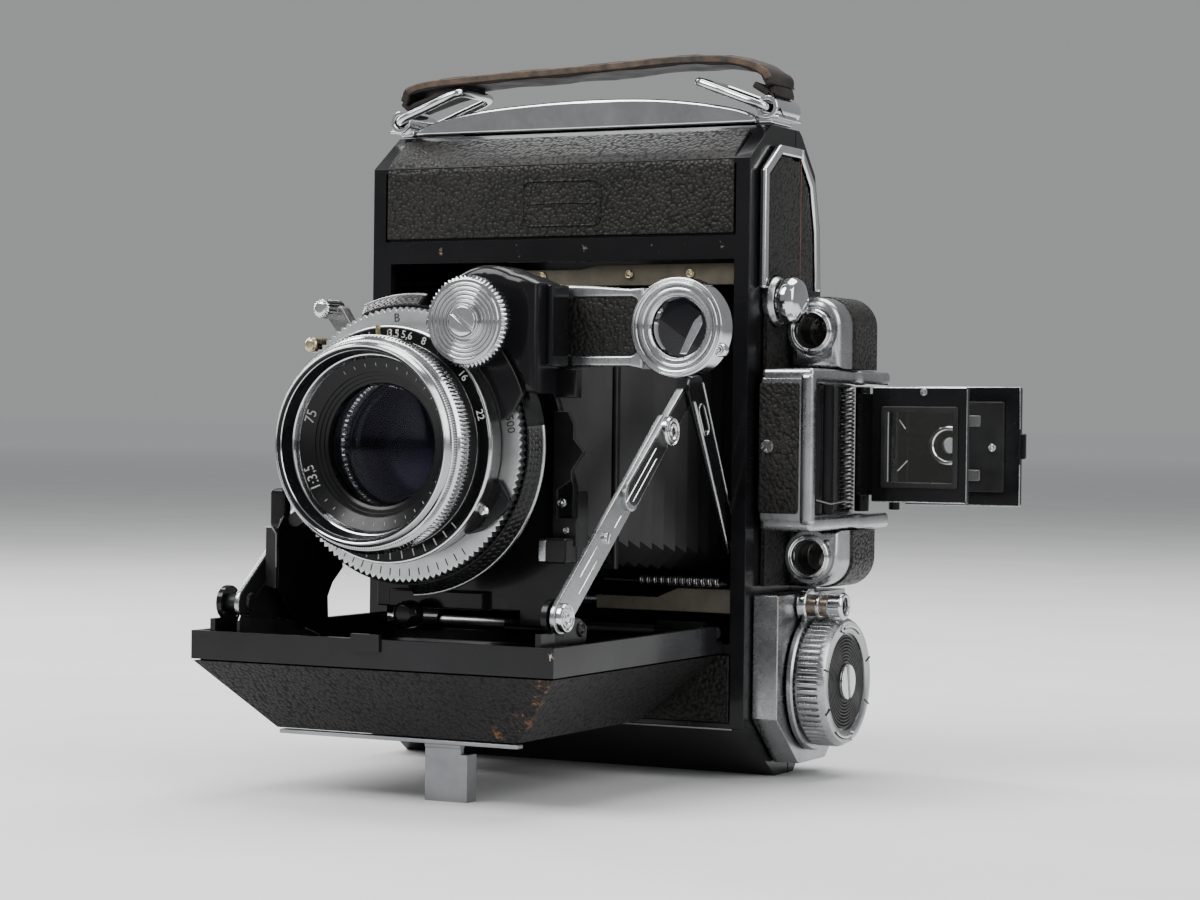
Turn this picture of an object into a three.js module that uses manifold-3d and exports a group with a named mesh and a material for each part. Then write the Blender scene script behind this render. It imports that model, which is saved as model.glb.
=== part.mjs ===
// Folding roll-film camera with a coupled rangefinder, open and standing on its end.
// Millimetres, +Z up. The lens looks along -Y, and +X is the side with the finder and the knobs.
// Shapes are written with Y = 0 on the front face of the body; the outer group then moves them
// so that the origin is the middle of the base.
import * as THREE from 'three';
import { mergeVertices } from 'three/addons/utils/BufferGeometryUtils.js';
import Module from 'manifold-3d';

const wasm = await Module();
wasm.setup();

// ---- driving dimensions ----
const bodyHalfWidth = 38;
const bodyHeight = 115;
const bodyDepth = 32;
const bodyMidY = 17;
const shellWall = 1.6;
const doorSplitY = 19.65;
const gap = 0.3;

const openingLeft = -34.2;
const openingRight = 35.2;
const openingBottom = 24;
const openingTop = 91;

const lensX = 0.4;
const lensZ = 58.3;
const hingeY = -1;
const hingeZ = 26;
const bedReach = 62.6;
const bedRear = -0.4;
const bedHalfWidth = 33.9;
const bedRimTop = 27.2;
const bedRimBottom = 22.5;
const bedUnderside = 11;

const pivotX = 15.9;
const pivotZ = 78;
const armLaneBack = -40.2;
const armLaneFront = -44.1;
const armWindowX = 45.5;
const armWindowZ = 77.5;

const spoolRadius = 11.8;
const knobY = 18;
const knobZ = 17;

// Outline of the body seen from the side, as (y, z) points.
const sideProfile = [
  [0, 9.4],
  [14, 0],
  [22, 0],
  [28.8, 6.6],
  [31.6, 14],
  [bodyDepth, 22],
  [bodyDepth, 87],
  [31.3, 98],
  [28.8, 107.6],
  [22.6, 114.2],
  [21.4, bodyHeight],
  [9, bodyHeight],
  [0, 108.5],
];

// ---- solids ----
function solidOf(geometry) {
  const bare = geometry.index ? geometry.toNonIndexed() : geometry;
  bare.deleteAttribute('normal');
  bare.deleteAttribute('uv');
  const merged = mergeVertices(bare, 1e-4);
  const vertProperties = new Float32Array(merged.attributes.position.array);
  const triVerts = new Uint32Array(merged.index.array);
  return new wasm.Manifold(new wasm.Mesh({ numProp: 3, vertProperties, triVerts }));
}

function geometryOf(solid) {
  const mesh = solid.getMesh();
  const geometry = new THREE.BufferGeometry();
  geometry.setAttribute('position', new THREE.BufferAttribute(new Float32Array(mesh.vertProperties), 3));
  geometry.setIndex(new THREE.BufferAttribute(new Uint32Array(mesh.triVerts), 1));
  geometry.computeVertexNormals();
  return geometry;
}

function box(x0, x1, y0, y1, z0, z1) {
  const geometry = new THREE.BoxGeometry(x1 - x0, y1 - y0, z1 - z0);
  geometry.translate((x0 + x1) / 2, (y0 + y1) / 2, (z0 + z1) / 2);
  return solidOf(geometry);
}

// Turns geometry made along +Z so that it points along another axis.
function along(axis, geometry) {
  if (axis === 'x') geometry.applyMatrix4(new THREE.Matrix4().set(0, 0, 1, 0, 1, 0, 0, 0, 0, 1, 0, 0,
      0, 0, 0, 1));
  if (axis === 'y') geometry.applyMatrix4(new THREE.Matrix4().set(0, 1, 0, 0, 0, 0, 1, 0, 1, 0, 0, 0,
      0, 0, 0, 1));
  return geometry;
}

function extrude(points, depth) {
  const shape = new THREE.Shape(points.map(([u, v]) => new THREE.Vector2(u, v)));
  return new THREE.ExtrudeGeometry(shape, { depth, bevelEnabled: false });
}

// Prisms: the points are (y, z), (x, z) or (x, y).
function prismX(points, x0, x1) {
  const geometry = along('x', extrude(points, x1 - x0));
  geometry.translate(x0, 0, 0);
  return solidOf(geometry);
}

function prismY(points, y0, y1) {
  const swapped = points.map(([x, z]) => [z, x]);
  const geometry = along('y', extrude(swapped, y1 - y0));
  geometry.translate(0, y0, 0);
  return solidOf(geometry);
}

function prismZ(points, z0, z1) {
  const geometry = extrude(points, z1 - z0);
  geometry.translate(0, 0, z0);
  return solidOf(geometry);
}

// A turned solid. The profile is [radius, place along the axis] from one end to the other.
// On the Y axis (u, v) are (x, z); on the X axis they are (y, z); on the Z axis (x, y).
function turned(axis, u, v, profile, segments = 40) {
  const points = profile.map(([r, h]) => new THREE.Vector2(r, h));
  const first = points[0];
  const last = points[points.length - 1];
  if (first.x > 0 || last.x > 0) points.push(first.clone());
  const geometry = new THREE.LatheGeometry(points, segments);
  geometry.rotateX(Math.PI / 2);
  const bare = along(axis, geometry);
  if (axis === 'x') bare.translate(0, u, v);
  if (axis === 'y') bare.translate(u, 0, v);
  if (axis === 'z') bare.translate(u, v, 0);
  const clean = bare.index ? bare.toNonIndexed() : bare;
  const solid = solidOf(withoutSlivers(clean));
  return solid.volume() < 0 ? solidOf(withoutSlivers(flipped(clean))) : solid;
}

function flipped(geometry) {
  const p = geometry.attributes.position;
  const array = new Float32Array(p.array);
  for (let i = 0; i < array.length; i += 9) {
    for (let k = 0; k < 3; k += 1) {
      const keep = array[i + k];
      array[i + k] = array[i + 3 + k];
      array[i + 3 + k] = keep;
    }
  }
  return new THREE.BufferGeometry().setAttribute('position', new THREE.BufferAttribute(array, 3));
}

// Drops the zero-area triangles that a turned profile leaves on its axis.
function withoutSlivers(geometry) {
  const p = geometry.attributes.position.array;
  const kept = [];
  const same = (i, j) => Math.hypot(p[i] - p[j], p[i + 1] - p[j + 1], p[i + 2] - p[j + 2]) < 1e-4;
  for (let i = 0; i < p.length; i += 9) {
    if (same(i, i + 3) || same(i + 3, i + 6) || same(i, i + 6)) continue;
    for (let k = 0; k < 9; k += 1) kept.push(p[i + k]);
  }
  return new THREE.BufferGeometry().setAttribute('position', new THREE.Float32BufferAttribute(kept, 3));
}

function rod(axis, u, v, radius, from, to, segments = 32) {
  return turned(axis, u, v, [[0, from], [radius, from], [radius, to], [0, to]], segments);
}

function tube(axis, u, v, inner, outer, from, to, segments = 40) {
  return turned(axis, u, v, [[inner, from], [outer, from], [outer, to], [inner, to]], segments);
}

// A convex outline moved inwards by a distance (outwards when it is negative): every edge is
// moved, and a large square is cut by each moved edge in turn.
function inset(points, distance) {
  const reach = 400;
  let kept = [[-reach, -reach], [reach, -reach], [reach, reach], [-reach, reach]];
  points.forEach((a, i) => {
    const b = points[(i + 1) % points.length];
    const length = Math.hypot(b[0] - a[0], b[1] - a[1]);
    const normal = [-(b[1] - a[1]) / length, (b[0] - a[0]) / length];
    const inside = (p) => (p[0] - a[0]) * normal[0] + (p[1] - a[1]) * normal[1] - distance;
    const cut = [];
    kept.forEach((p, k) => {
      const q = kept[(k + 1) % kept.length];
      const dp = inside(p);
      const dq = inside(q);
      if (dp >= 0) cut.push(p);
      if (dp >= 0 !== dq >= 0) {
        const t = dp / (dp - dq);
        cut.push([p[0] + (q[0] - p[0]) * t, p[1] + (q[1] - p[1]) * t]);
      }
    });
    kept = cut;
  });
  return kept.filter((p, k) => {
    const q = kept[(k + 1) % kept.length];
    return Math.hypot(p[0] - q[0], p[1] - q[1]) > 0.02;
  });
}

// A round-ended bar in a plane, from one pivot to the other.
function slotOutline(a, b, radiusA, radiusB, steps = 10) {
  const angle = Math.atan2(b[1] - a[1], b[0] - a[0]);
  const points = [];
  for (let i = 0; i <= steps; i += 1) {
    const t = angle - Math.PI / 2 + (Math.PI * i) / steps;
    points.push([b[0] + radiusB * Math.cos(t), b[1] + radiusB * Math.sin(t)]);
  }
  for (let i = 0; i <= steps; i += 1) {
    const t = angle + Math.PI / 2 + (Math.PI * i) / steps;
    points.push([a[0] + radiusA * Math.cos(t), a[1] + radiusA * Math.sin(t)]);
  }
  return points;
}

// A sector of a ring in the plane that faces the lens, angles in degrees from +X towards +Z.
function sector(inner, outer, fromDeg, toDeg, y0, y1, steps = 8) {
  const points = [];
  for (let i = 0; i <= steps; i += 1) {
    const t = THREE.MathUtils.degToRad(fromDeg + ((toDeg - fromDeg) * i) / steps);
    points.push([lensX + outer * Math.cos(t), lensZ + outer * Math.sin(t)]);
  }
  for (let i = steps; i >= 0; i -= 1) {
    const t = THREE.MathUtils.degToRad(fromDeg + ((toDeg - fromDeg) * i) / steps);
    points.push([lensX + inner * Math.cos(t), lensZ + inner * Math.sin(t)]);
  }
  return prismY(points, y0, y1);
}

// ---- materials ----
function finish(color, roughness, metalness) {
  return () => new THREE.MeshStandardMaterial({ color, roughness, metalness });
}
const blackLacquer = finish(0x0b0b0d, 0.22, 0.1);
const blackLeather = finish(0x1b1918, 0.7, 0);
const chrome = finish(0xc9ccd0, 0.2, 1);
const satinChrome = finish(0xa9acb0, 0.4, 1);
const greyCloth = finish(0x121214, 0.85, 0);
const brownLeather = finish(0x2c211b, 0.75, 0);
const clearGlass = finish(0x9fb2c8, 0.05, 0);
const darkMetal = finish(0x1c1d1f, 0.45, 0.6);

const outer = new THREE.Group();
const camera = new THREE.Group();
camera.position.y = -bodyMidY;
outer.add(camera);

function add(name, solid, material) {
  const mesh = new THREE.Mesh(geometryOf(solid), material());
  mesh.name = name;
  camera.add(mesh);
}

// ---- body ----
const wholeShell = prismX(sideProfile, -bodyHalfWidth, bodyHalfWidth);
const cavity = prismX(inset(sideProfile, shellWall), -bodyHalfWidth + shellWall, bodyHalfWidth - shellWall);
const hollowShell = wholeShell.subtract(cavity);
const knobShaftHole = rod('x', knobY, knobZ, 2.6, 30, 45, 24);
const backHingeY = doorSplitY;
const backHingeZ = bodyHeight + 0.7;
const plungerY = 13.2;
const plungerZ = 30.6;
const buttonY = 9.5;
const buttonZ = 84;

function frontLeatherOutline(z0, z1) {
  return [[-35.4, z0], [35.4, z0], [35.4, z1], [-35.4, z1]];
}

function bodyShell() {
  const front = box(-60, 60, -10, doorSplitY - gap / 2, -5, 140);
  let shell = hollowShell.intersect(front);
  shell = shell.subtract(box(openingLeft, openingRight, -5, 3, openingBottom, openingTop));
  shell = shell.subtract(prismY(frontLeatherOutline(95, 107.6), -1, 0.9));
  shell = shell.subtract(prismY(frontLeatherOutline(10.2, 22.4), -1, 0.9));
  shell = shell.subtract(knobShaftHole);
  shell = shell.subtract(rod('x', backHingeY, backHingeZ, 1.25, -33, 33, 16));
  shell = shell.subtract(rod('x', buttonY, buttonZ, 2.6, 30, 45, 20));
  shell = shell.subtract(rod('x', plungerY, plungerZ, 1.7, 30, 45, 20));
  shell = shell.subtract(rod('x', 10, 58.3, 3.4, -45, -34, 24));
  return shell;
}

const panelFront = -0.1;
const panelBack = 0.6;
function frontPanel(z0, z1) {
  return prismY([[-35.1, z0], [35.1, z0], [35.1, z1], [-35.1, z1]], panelFront, panelBack);
}

function sideStrip(inner, outside, x0, x1) {
  const ring = prismX(inset(sideProfile, outside), x0, x1);
  return inner === null ? ring : ring.subtract(prismX(inset(sideProfile, inner), x0 - 1, x1 + 1));
}

const frontHalf = box(-60, 60, -10, doorSplitY - gap / 2, -5, 140);
const rearHalf = box(-60, 60, doorSplitY + gap / 2, 60, -5, 140);

function topPlate() {
  const points = [[-34.9, 115.3], [34.9, 115.3], [34.6, 117.1]];
  const steps = 16;
  const arch = new THREE.CubicBezierCurve(
    new THREE.Vector2(34.2, 117.5),
    new THREE.Vector2(20, 120.9),
    new THREE.Vector2(10, 120.5),
    new THREE.Vector2(0, 120.5),
  );
  const half = arch.getPoints(steps / 2).map((p) => [p.x, p.y]);
  const mirrored = half.slice(0, -1).reverse().map(([x, z]) => [-x, z]);
  points.push(...half, ...mirrored, [-34.6, 117.1]);
  return prismY(points, 9.3, 18.3).subtract(prismX([[17.6, 114], [19, 114], [19, 117.6],
      [17.6, 116.6]], -33, 33));
}

add('body_shell', bodyShell(), blackLacquer);
add('upper_leather', frontPanel(95.3, 107.3), blackLeather);
add('lower_leather', frontPanel(10.5, 22.1), blackLeather);
add('top_plate', topPlate(), chrome);

const sideFace = bodyHalfWidth + gap;
const leatherPatch = prismX(inset(sideProfile, 5.8), sideFace, sideFace + 0.8);
const buttonClear = rod('x', buttonY, buttonZ, 4.6, 38, 45, 28);
add(
  'side_leather',
  leatherPatch.intersect(box(30, 60, 0, doorSplitY - gap / 2, 34, 140)).subtract(buttonClear),
  blackLeather,
);
const trimRing = sideStrip(5.2, 3.4, sideFace, sideFace + 1.3);
add('side_trim', trimRing.intersect(box(30, 60, -5, doorSplitY - gap / 2, 86, 140))
    .subtract(buttonClear), chrome);

const bottomPatch = prismX(inset(sideProfile, 3), -sideFace - 0.8, -sideFace).intersect(frontHalf);
add('left_side_leather', bottomPatch.subtract(rod('x', 10, 58.3, 5.2, -45, -30, 28)), blackLeather);

// Tripod bush in the long side opposite the finder, a flanged sleeve with a blind socket.
add(
  'tripod_bush',
  turned('x', 10, 58.3, [[0, -34.6], [3.1, -34.6], [3.1, -38.3], [4.9, -38.3], [4.9, -39.6],
      [2.5, -39.6], [2.5, -35.6], [0, -35.6]], 24),
  chrome,
);

// Film gate: a plate with the picture opening, held on the side walls, and two film rails.
const gateFront = 25;
const gateBack = 26.5;
function filmGate() {
  let plate = box(-35.9, 35.9, gateFront, gateBack, 32.6, 85.4);
  plate = plate.subtract(box(-28, 28, 20, 30, 37.6, 79.2));
  const lower = box(-35.9, 35.9, 23.2, gateBack, 31.6, 33.6);
  const upper = box(-35.9, 35.9, 23.2, gateBack, 84.6, 86.6);
  return plate.add(lower).add(upper);
}
add('film_gate', filmGate(), blackLacquer);

// ---- back door ----
function backDoor() {
  let door = hollowShell.intersect(rearHalf);
  door = door.subtract(knobShaftHole);
  const barrel = rod('x', backHingeY + 0.15, backHingeZ, 0.9, -30, 30, 16);
  const leaf = box(-30, 30, backHingeY + 0.2, backHingeY + 2.2, bodyHeight - 1, bodyHeight + 0.5);
  door = door.add(barrel).add(leaf);
  const window = rod('y', -9, 58.3, 3.2, 25, 40, 24);
  return door.subtract(window);
}
add('back_door', backDoor(), blackLacquer);

const backSkin = prismX(inset(sideProfile, -0.95), -35.4, 35.4).subtract(prismX(inset(sideProfile,
    -0.3), -40, 40));
const backSkinBounds = box(-36, 36, 26, 40, 6, 106);
const coverSlot = box(-14.6, 5.2, 20, 40, 53.2, 63.4);
add('back_leather', backSkin.intersect(backSkinBounds).subtract(coverSlot), blackLeather);

const coverFront = bodyDepth + 0.3;
add(
  'window_cover',
  box(-13.8, -4.2, coverFront, coverFront + 0.8, 54, 62.6).add(rod('y', -9, 58.3, 1.6,
      coverFront + 0.4, coverFront + 1.7, 20)),
  satinChrome,
);

function pressurePlate() {
  const plate = box(-30, 30, 27, 28, 36, 81);
  const springLow = box(-12, 12, 28, 28.8, 45, 50);
  const springHigh = box(-12, 12, 28, 28.8, 67, 72);
  return plate.add(springLow).add(springHigh);
}
add('pressure_plate', pressurePlate(), darkMetal);

// Latch that holds the door shut at its lower end, a plate on the lower slope.
const latchPlate = prismX(inset(sideProfile, -0.95), -9, 9).subtract(prismX(inset(sideProfile, -0.35),
    -12, 12));
add('back_latch', latchPlate.intersect(box(-9, 9, 22.9, 28.4, 0.5, 6)), satinChrome);

// ---- film path ----
const takeupSlot = box(29.5, 34, knobY - 1.3, knobY + 1.3, knobZ - 2.4, knobZ + 2.4);
add(
  'takeup_spool',
  turned(
    'x',
    knobY,
    knobZ,
    [[0, -32.4], [spoolRadius, -32.4], [spoolRadius, -31.4], [5.6, -31.4], [5.6, 31.4],
        [spoolRadius, 31.4], [spoolRadius, 32.4], [0, 32.4]],
    30,
  ).subtract(takeupSlot),
  darkMetal,
);
add('lower_roller', rod('x', 24.6, 29.4, 1.6, -35.6, 35.6, 16), satinChrome);
add('upper_roller', rod('x', 24.6, 88.8, 1.6, -35.6, 35.6, 16), satinChrome);

// ---- carrying strap, its rings and lugs ----
const lugX = 37.4;
const lugZ = 118;
function strapLug(side) {
  const roll = tube('y', side * lugX, lugZ, 1.2, 2.1, 8, 18.6, 20);
  const tab = box(side > 0 ? 35.3 : -37.9, side > 0 ? 37.9 : -35.3, 9.3, 18.3, bodyHeight + gap,
      bodyHeight + 1.6);
  const bore = rod('y', side * lugX, lugZ, 1.2, 5, 22, 20);
  return roll.add(tab).subtract(bore);
}
add('strap_lug_left', strapLug(-1), chrome);
add('strap_lug_right', strapLug(1), chrome);

// A wire ring: one bar runs through the lug, the other carries the strap.
const ringWire = 0.8;
function strapRing(side) {
  const inner = [side * 24.2, 123];
  const outerEnd = [side * lugX, lugZ];
  const rail = slotOutline(outerEnd, inner, ringWire, ringWire, 6);
  const near = prismY(rail, 6.2, 7.6);
  const far = prismY(rail, 19, 20.4);
  const through = rod('y', outerEnd[0], outerEnd[1], ringWire, 6.6, 20, 12);
  const carrier = rod('y', inner[0], inner[1], ringWire, 6.6, 20, 12);
  return near.add(far).add(through).add(carrier);
}
add('strap_ring_left', strapRing(-1), chrome);
add('strap_ring_right', strapRing(1), chrome);

const strapThickness = 1.9;
function carryingStrap() {
  const centre = new THREE.CatmullRomCurve3(
    [
      [-37.4, 121.9],
      [-34, 124.6],
      [-18, 125.7],
      [0, 126.3],
      [20, 127.2],
      [31, 126.6],
      [36.6, 124.4],
      [37.8, 121.9],
    ].map(([x, z]) => new THREE.Vector3(x, 0, z)),
  );
  const steps = 34;
  const top = [];
  const bottom = [];
  for (let i = 0; i <= steps; i += 1) {
    const p = centre.getPoint(i / steps);
    const t = centre.getTangent(i / steps);
    top.push([p.x - (t.z * strapThickness) / 2, p.z + (t.x * strapThickness) / 2]);
    bottom.push([p.x + (t.z * strapThickness) / 2, p.z - (t.x * strapThickness) / 2]);
  }
  return prismY([...bottom, ...top.reverse()], 8.4, 18.4);
}
add('carrying_strap', carryingStrap(), brownLeather);

// ---- drop bed ----
add('bed_hinge_rod', rod('x', hingeY, hingeZ, 0.9, -33.6, 33.6, 16), satinChrome);

function frustum(topHalf, topY0, topY1, topZ, lowHalf, lowY0, lowY1, lowZ) {
  const corners = [
    [-topHalf, topY0, topZ], [topHalf, topY0, topZ], [topHalf, topY1, topZ], [-topHalf, topY1, topZ],
    [-lowHalf, lowY0, lowZ], [lowHalf, lowY0, lowZ], [lowHalf, lowY1, lowZ], [-lowHalf, lowY1, lowZ],
  ];
  const faces = [0, 1, 2, 0, 2, 3, 4, 6, 5, 4, 7, 6, 0, 4, 5, 0, 5, 1, 1, 5, 6, 1, 6, 2, 2, 6, 7, 2, 7,
      3, 3, 7, 4, 3, 4, 0];
  const mesh = new wasm.Mesh({
    numProp: 3,
    vertProperties: new Float32Array(corners.flat()),
    triVerts: new Uint32Array(faces),
  });
  return new wasm.Manifold(mesh);
}

// The pan narrows from the rim to a flat underside. A positive shrink gives an inner surface.
const underHalf = 22.8;
const underFront = -53.4;
const underRear = -9.4;
function pan(shrink, floorZ) {
  return frustum(
    bedHalfWidth - shrink,
    -bedReach + shrink,
    bedRear - shrink,
    bedRimBottom,
    underHalf - shrink * 0.5,
    underFront + shrink * 0.5,
    underRear - shrink * 0.5,
    floorZ,
  );
}

function bedPan() {
  const rim = box(-bedHalfWidth, bedHalfWidth, -bedReach, bedRear, bedRimBottom, bedRimTop);
  const wall = 1.2;
  const rimInside = box(
    -bedHalfWidth + wall,
    bedHalfWidth - wall,
    -bedReach + wall,
    bedRear - wall,
    bedRimBottom,
    bedRimTop + 1,
  );
  let tray = rim.add(pan(0.95, bedUnderside + 0.85));
  tray = tray.subtract(rimInside).subtract(pan(1.75, bedUnderside + 1.5));
  tray = tray.subtract(box(-33.9, 33.9, -2.3, 1, hingeZ - 1.4, bedRimTop + 1));
  for (const [x0, x1] of [[-31, -22], [-8, 8], [22, 31]]) {
    tray = tray.add(tube('x', hingeY, hingeZ, 1.2, 1.8, x0, x1, 16));
  }
  const clip = box(-2.7, 2.6, -bedReach - 0.5, -bedReach + 0.4, 25.2, 28);
  const leftBoss = box(-31, -30, -61.4, -53.6, 26, 29.2).add(rod('x', -56.9, 31.6, 2.9, -31, -30, 20));
  const rightBoss = box(30, 31, -61.4, -53.6, 26, 29.2).add(rod('x', -56.9, 31.6, 2.9, 30, 31, 20));
  const leftBridge = box(-33, -30, -61.4, -53.6, 26, 27.1);
  const rightBridge = box(30, 33, -61.4, -53.6, 26, 27.1);
  return tray.add(clip).add(leftBoss).add(rightBoss).add(leftBridge).add(rightBridge);
}
add('bed', bedPan(), blackLacquer);

function bedLeather() {
  const skin = pan(0, bedUnderside).subtract(pan(0.65, bedUnderside + 0.55));
  return skin.intersect(box(-40, 40, -70, 5, bedUnderside - 1, bedRimBottom - gap));
}
add('bed_leather', bedLeather(), blackLeather);

const bedTrimZ = bedUnderside - 0.3;
add(
  'bed_trim',
  box(-22.6, 22.6, -53.2, -51.2, bedTrimZ - 0.7, bedTrimZ).add(box(-6, 6, -51.6, -48.6, bedTrimZ - 0.5,
      bedTrimZ)),
  satinChrome,
);

// Foot: a bent plate that swings up under the bed.
const footHingeY = -47.4;
const footHingeZ = 9.2;
function bedFoot() {
  const plate = box(2.5, 9.2, footHingeY - 0.5, footHingeY + 0.5, 0, footHingeZ + 0.6);
  const flange = box(9.2, 10.4, footHingeY - 0.5, footHingeY + 2.6, 0, footHingeZ - 1.4);
  const toe = box(2.5, 9.6, footHingeY - 0.5, footHingeY + 2.6, 0, 0.8);
  const barrel = rod('x', footHingeY, footHingeZ, 0.75, 2.5, 9.2, 16);
  return plate.add(flange).add(toe).add(barrel);
}
add('bed_foot', bedFoot(), satinChrome);

// ---- struts and links ----
const strutFoot = [-56.9, 31.6];
const strutHead = [-14.3, 66.3];
const linkFoot = [3.5, 41];
const linkHead = [-12, 68];
function strut(side) {
  const lower = slotOutline(strutFoot, [-20.6, 56.2 + 4.98], 2.7, 2.7);
  const plate = prismX(lower, 31.4, 32.4);
  const upper = prismX(slotOutline([-33.5, 50.7], strutHead, 2.4, 1.9), 31.4, 33);
  const shape = plate.add(upper);
  return side > 0 ? shape : shape.mirror([1, 0, 0]);
}
add('strut_right', strut(1), satinChrome);
add('strut_left', strut(-1), satinChrome);

function link(side) {
  const blade = prismX(slotOutline(linkFoot, linkHead, 1.9, 3), 33.3, 34);
  const hole = prismX(slotOutline([-8.2, 61.4], [-10, 64.5], 0.9, 0.9, 8), 33, 35);
  const shape = blade.subtract(hole);
  return side > 0 ? shape : shape.mirror([1, 0, 0]);
}
add('link_right', link(1), blackLacquer);
add('link_left', link(-1), blackLacquer);

// ---- lens standard and bellows ----
const boardFront = -39.3;
const boardBack = -37.5;
const boardArcRadius = 22.5;
const boardArcSteps = 18;
function lensStandard() {
  const foot = [[-25, 52], [-25, 36], [-22, 33], [22, 33], [25, 36], [25, 52]];
  const head = [];
  for (let i = 0; i <= boardArcSteps; i += 1) {
    const t = Math.PI * (i / boardArcSteps);
    head.push([lensX + boardArcRadius * Math.cos(t), lensZ + boardArcRadius * Math.sin(t)]);
  }
  let board = prismY([...foot, ...head], boardFront, boardBack);
  for (const side of [-1, 1]) {
    const lip = box(side > 0 ? 24 : -25, side > 0 ? 25 : -24, boardFront, -34, 38, 51);
    const leg = box(side > 0 ? 15 : -23, side > 0 ? 23 : -15, boardFront, boardBack, 28.4, 34);
    board = board.add(lip).add(leg);
  }
  board = board.add(box(-9, 9, boardFront - 1.8, boardBack, 31, 34)).add(box(-6, 0, -41.2,
      boardFront + 0.2, 28, 32));
  board = board.subtract(rod('y', -3, 30.1, 1.5, -45, -37, 12));
  return board.subtract(rod('y', lensX, lensZ, 13.1, -45, -30, 40));
}
add('lens_standard', lensStandard(), blackLacquer);

// A square tapering sleeve between two sections, open at both ends.
function sleeve(y0, half0, low0, high0, y1, half1, low1, high1) {
  const wall = 0.9;
  const loft = (trim, extend) => {
    const corners = [];
    for (const [y, half, low, high] of [[y0 - extend, half0, low0, high0],
        [y1 + extend, half1, low1, high1]]) {
      corners.push([-half + trim, y, low + trim], [half - trim, y, low + trim]);
      corners.push([half - trim, y, high - trim], [-half + trim, y, high - trim]);
    }
    const faces = [0, 2, 1, 0, 3, 2, 4, 5, 6, 4, 6, 7, 0, 1, 5, 0, 5, 4, 1, 2, 6, 1, 6, 5, 2, 3, 7, 2,
        7, 6, 3, 0, 4, 3, 4, 7];
    const made = (order) =>
      new wasm.Manifold(
        new wasm.Mesh({
          numProp: 3,
          vertProperties: new Float32Array(corners.flat()),
          triVerts: new Uint32Array(order),
        }),
      );
    const solid = made(faces);
    return solid.volume() < 0 ? made([...faces].reverse()) : solid;
  };
  return loft(0, 0).subtract(loft(wall, 1));
}
const midFront = -17;
const midBack = -15.5;
add('bellows_front', sleeve(boardBack + gap, 18, 40.3, 76.3, midFront - gap, 20.6, 38, 78.6), greyCloth);
add('bellows_rear', sleeve(midBack + gap, 20.6, 38, 78.6, 22, 27.6, 34.6, 82.4), greyCloth);
add('bellows_mid', sleeve(midFront, 21.4, 37.2, 79.4, midBack, 21.4, 37.2, 79.4), greyCloth);

// ---- shutter and lens ----
const caseFront = -50;
const caseBack = -44.5;
const rimRadius = 24.7;
function shutterCase() {
  let solid = turned(
    'y',
    lensX,
    lensZ,
    [[11.3, -57.6], [13, -57.6], [13, caseFront], [22.6, caseFront], [22.6, -51.9], [23, -51.9],
        [rimRadius, -49.9], [rimRadius, -49.4], [22.3, -48.6], [22.3, caseBack], [12.8, caseBack],
        [12.8, -36.5], [11.3, -36.5]],
    56,
  );
  solid = solid.subtract(sector(23, 26, 8, 84, -53, caseBack - 1.5));
  solid = solid.subtract(sector(19, 26, 112, 152, -53, caseBack - 1.5));
  return solid.subtract(sector(19, 26, 196, 234, -53, caseBack - 1.5));
}
add('shutter_case', shutterCase(), blackLacquer);
add('shutter_blades', rod('y', lensX, lensZ, 11, -47.4, -46.8, 36), darkMetal);
add('speed_ring', tube('y', lensX, lensZ, 13.3, 22.4, -53.2, caseFront - gap, 44), satinChrome);
add('aperture_ring', tube('y', lensX, lensZ, 13.3, 19.2, -57.75, -53.5, 44), blackLacquer);
add(
  'cocking_lever',
  sector(19.4, 28.2, 122, 129, caseFront + 0.3, -46.4, 3).add(
    rod('y', lensX + 27.3 * Math.cos(2.19), lensZ + 27.3 * Math.sin(2.19), 1.5, -53.4, -46.6, 16),
  ),
  satinChrome,
);
add('release_lever', sector(19.4, 27.6, 206, 213, caseFront + 0.3, -46.4, 3), satinChrome);
add(
  'focus_ring',
  turned('y', lensX, lensZ, [[15.2, -63], [16.5, -63], [16.5, -61.6], [17.2, -61.4], [17.2, -57.9],
      [13.2, -57.9], [13.2, -58.6], [15.2, -58.6]], 44),
  chrome,
);
add(
  'lens_barrel',
  turned(
    'y',
    lensX,
    lensZ,
    [[15.7, -65], [17.2, -65], [17.2, -63.3], [14.9, -63.3], [14.9, -59.6], [10.6, -58.9],
        [10.6, -56.4], [10, -56.4], [10, -59.7], [14.1, -61.4], [14.6, -64.2]],
    44,
  ),
  blackLacquer,
);
add(
  'front_glass',
  turned('y', lensX, lensZ, [[0, -60.4], [4, -60.2], [7.5, -59.5], [9.7, -58.7], [9.7, -56.6],
      [0, -57.2]], 40),
  clearGlass,
);

// ---- rangefinder ----
function rangefinderHousing() {
  const shutterClear = rod('y', lensX, lensZ, 23.9, -60, caseBack + gap, 72);
  const round = rod('y', pivotX, pivotZ, 9.3, -54, -44.5, 40);
  const apron = prismY([[15, 66], [25.4, 66], [25.4, 80], [15, 80]], -50.5, -44.5);
  const pin = rod('y', pivotX, pivotZ, 2, -45, -40.4, 20);
  const shaftHole = rod('y', pivotX, pivotZ, 2.3, -55, -50.6, 20);
  return round.add(apron).add(pin).subtract(shutterClear).subtract(shaftHole);
}
add('rangefinder_housing', rangefinderHousing(), blackLacquer);

const wheelRadius = 7.4;
function focusWheel() {
  const disc = turned(
    'y',
    pivotX,
    pivotZ,
    [[0, -60.6], [2.4, -60.6], [2.6, -60.1], [6.6, -60.1], [wheelRadius, -59.7], [wheelRadius, -57.9],
        [2, -57.9], [2, -51], [0, -51]],
    44,
  );
  return disc;
}
add('focus_wheel', focusWheel(), chrome);

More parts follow.
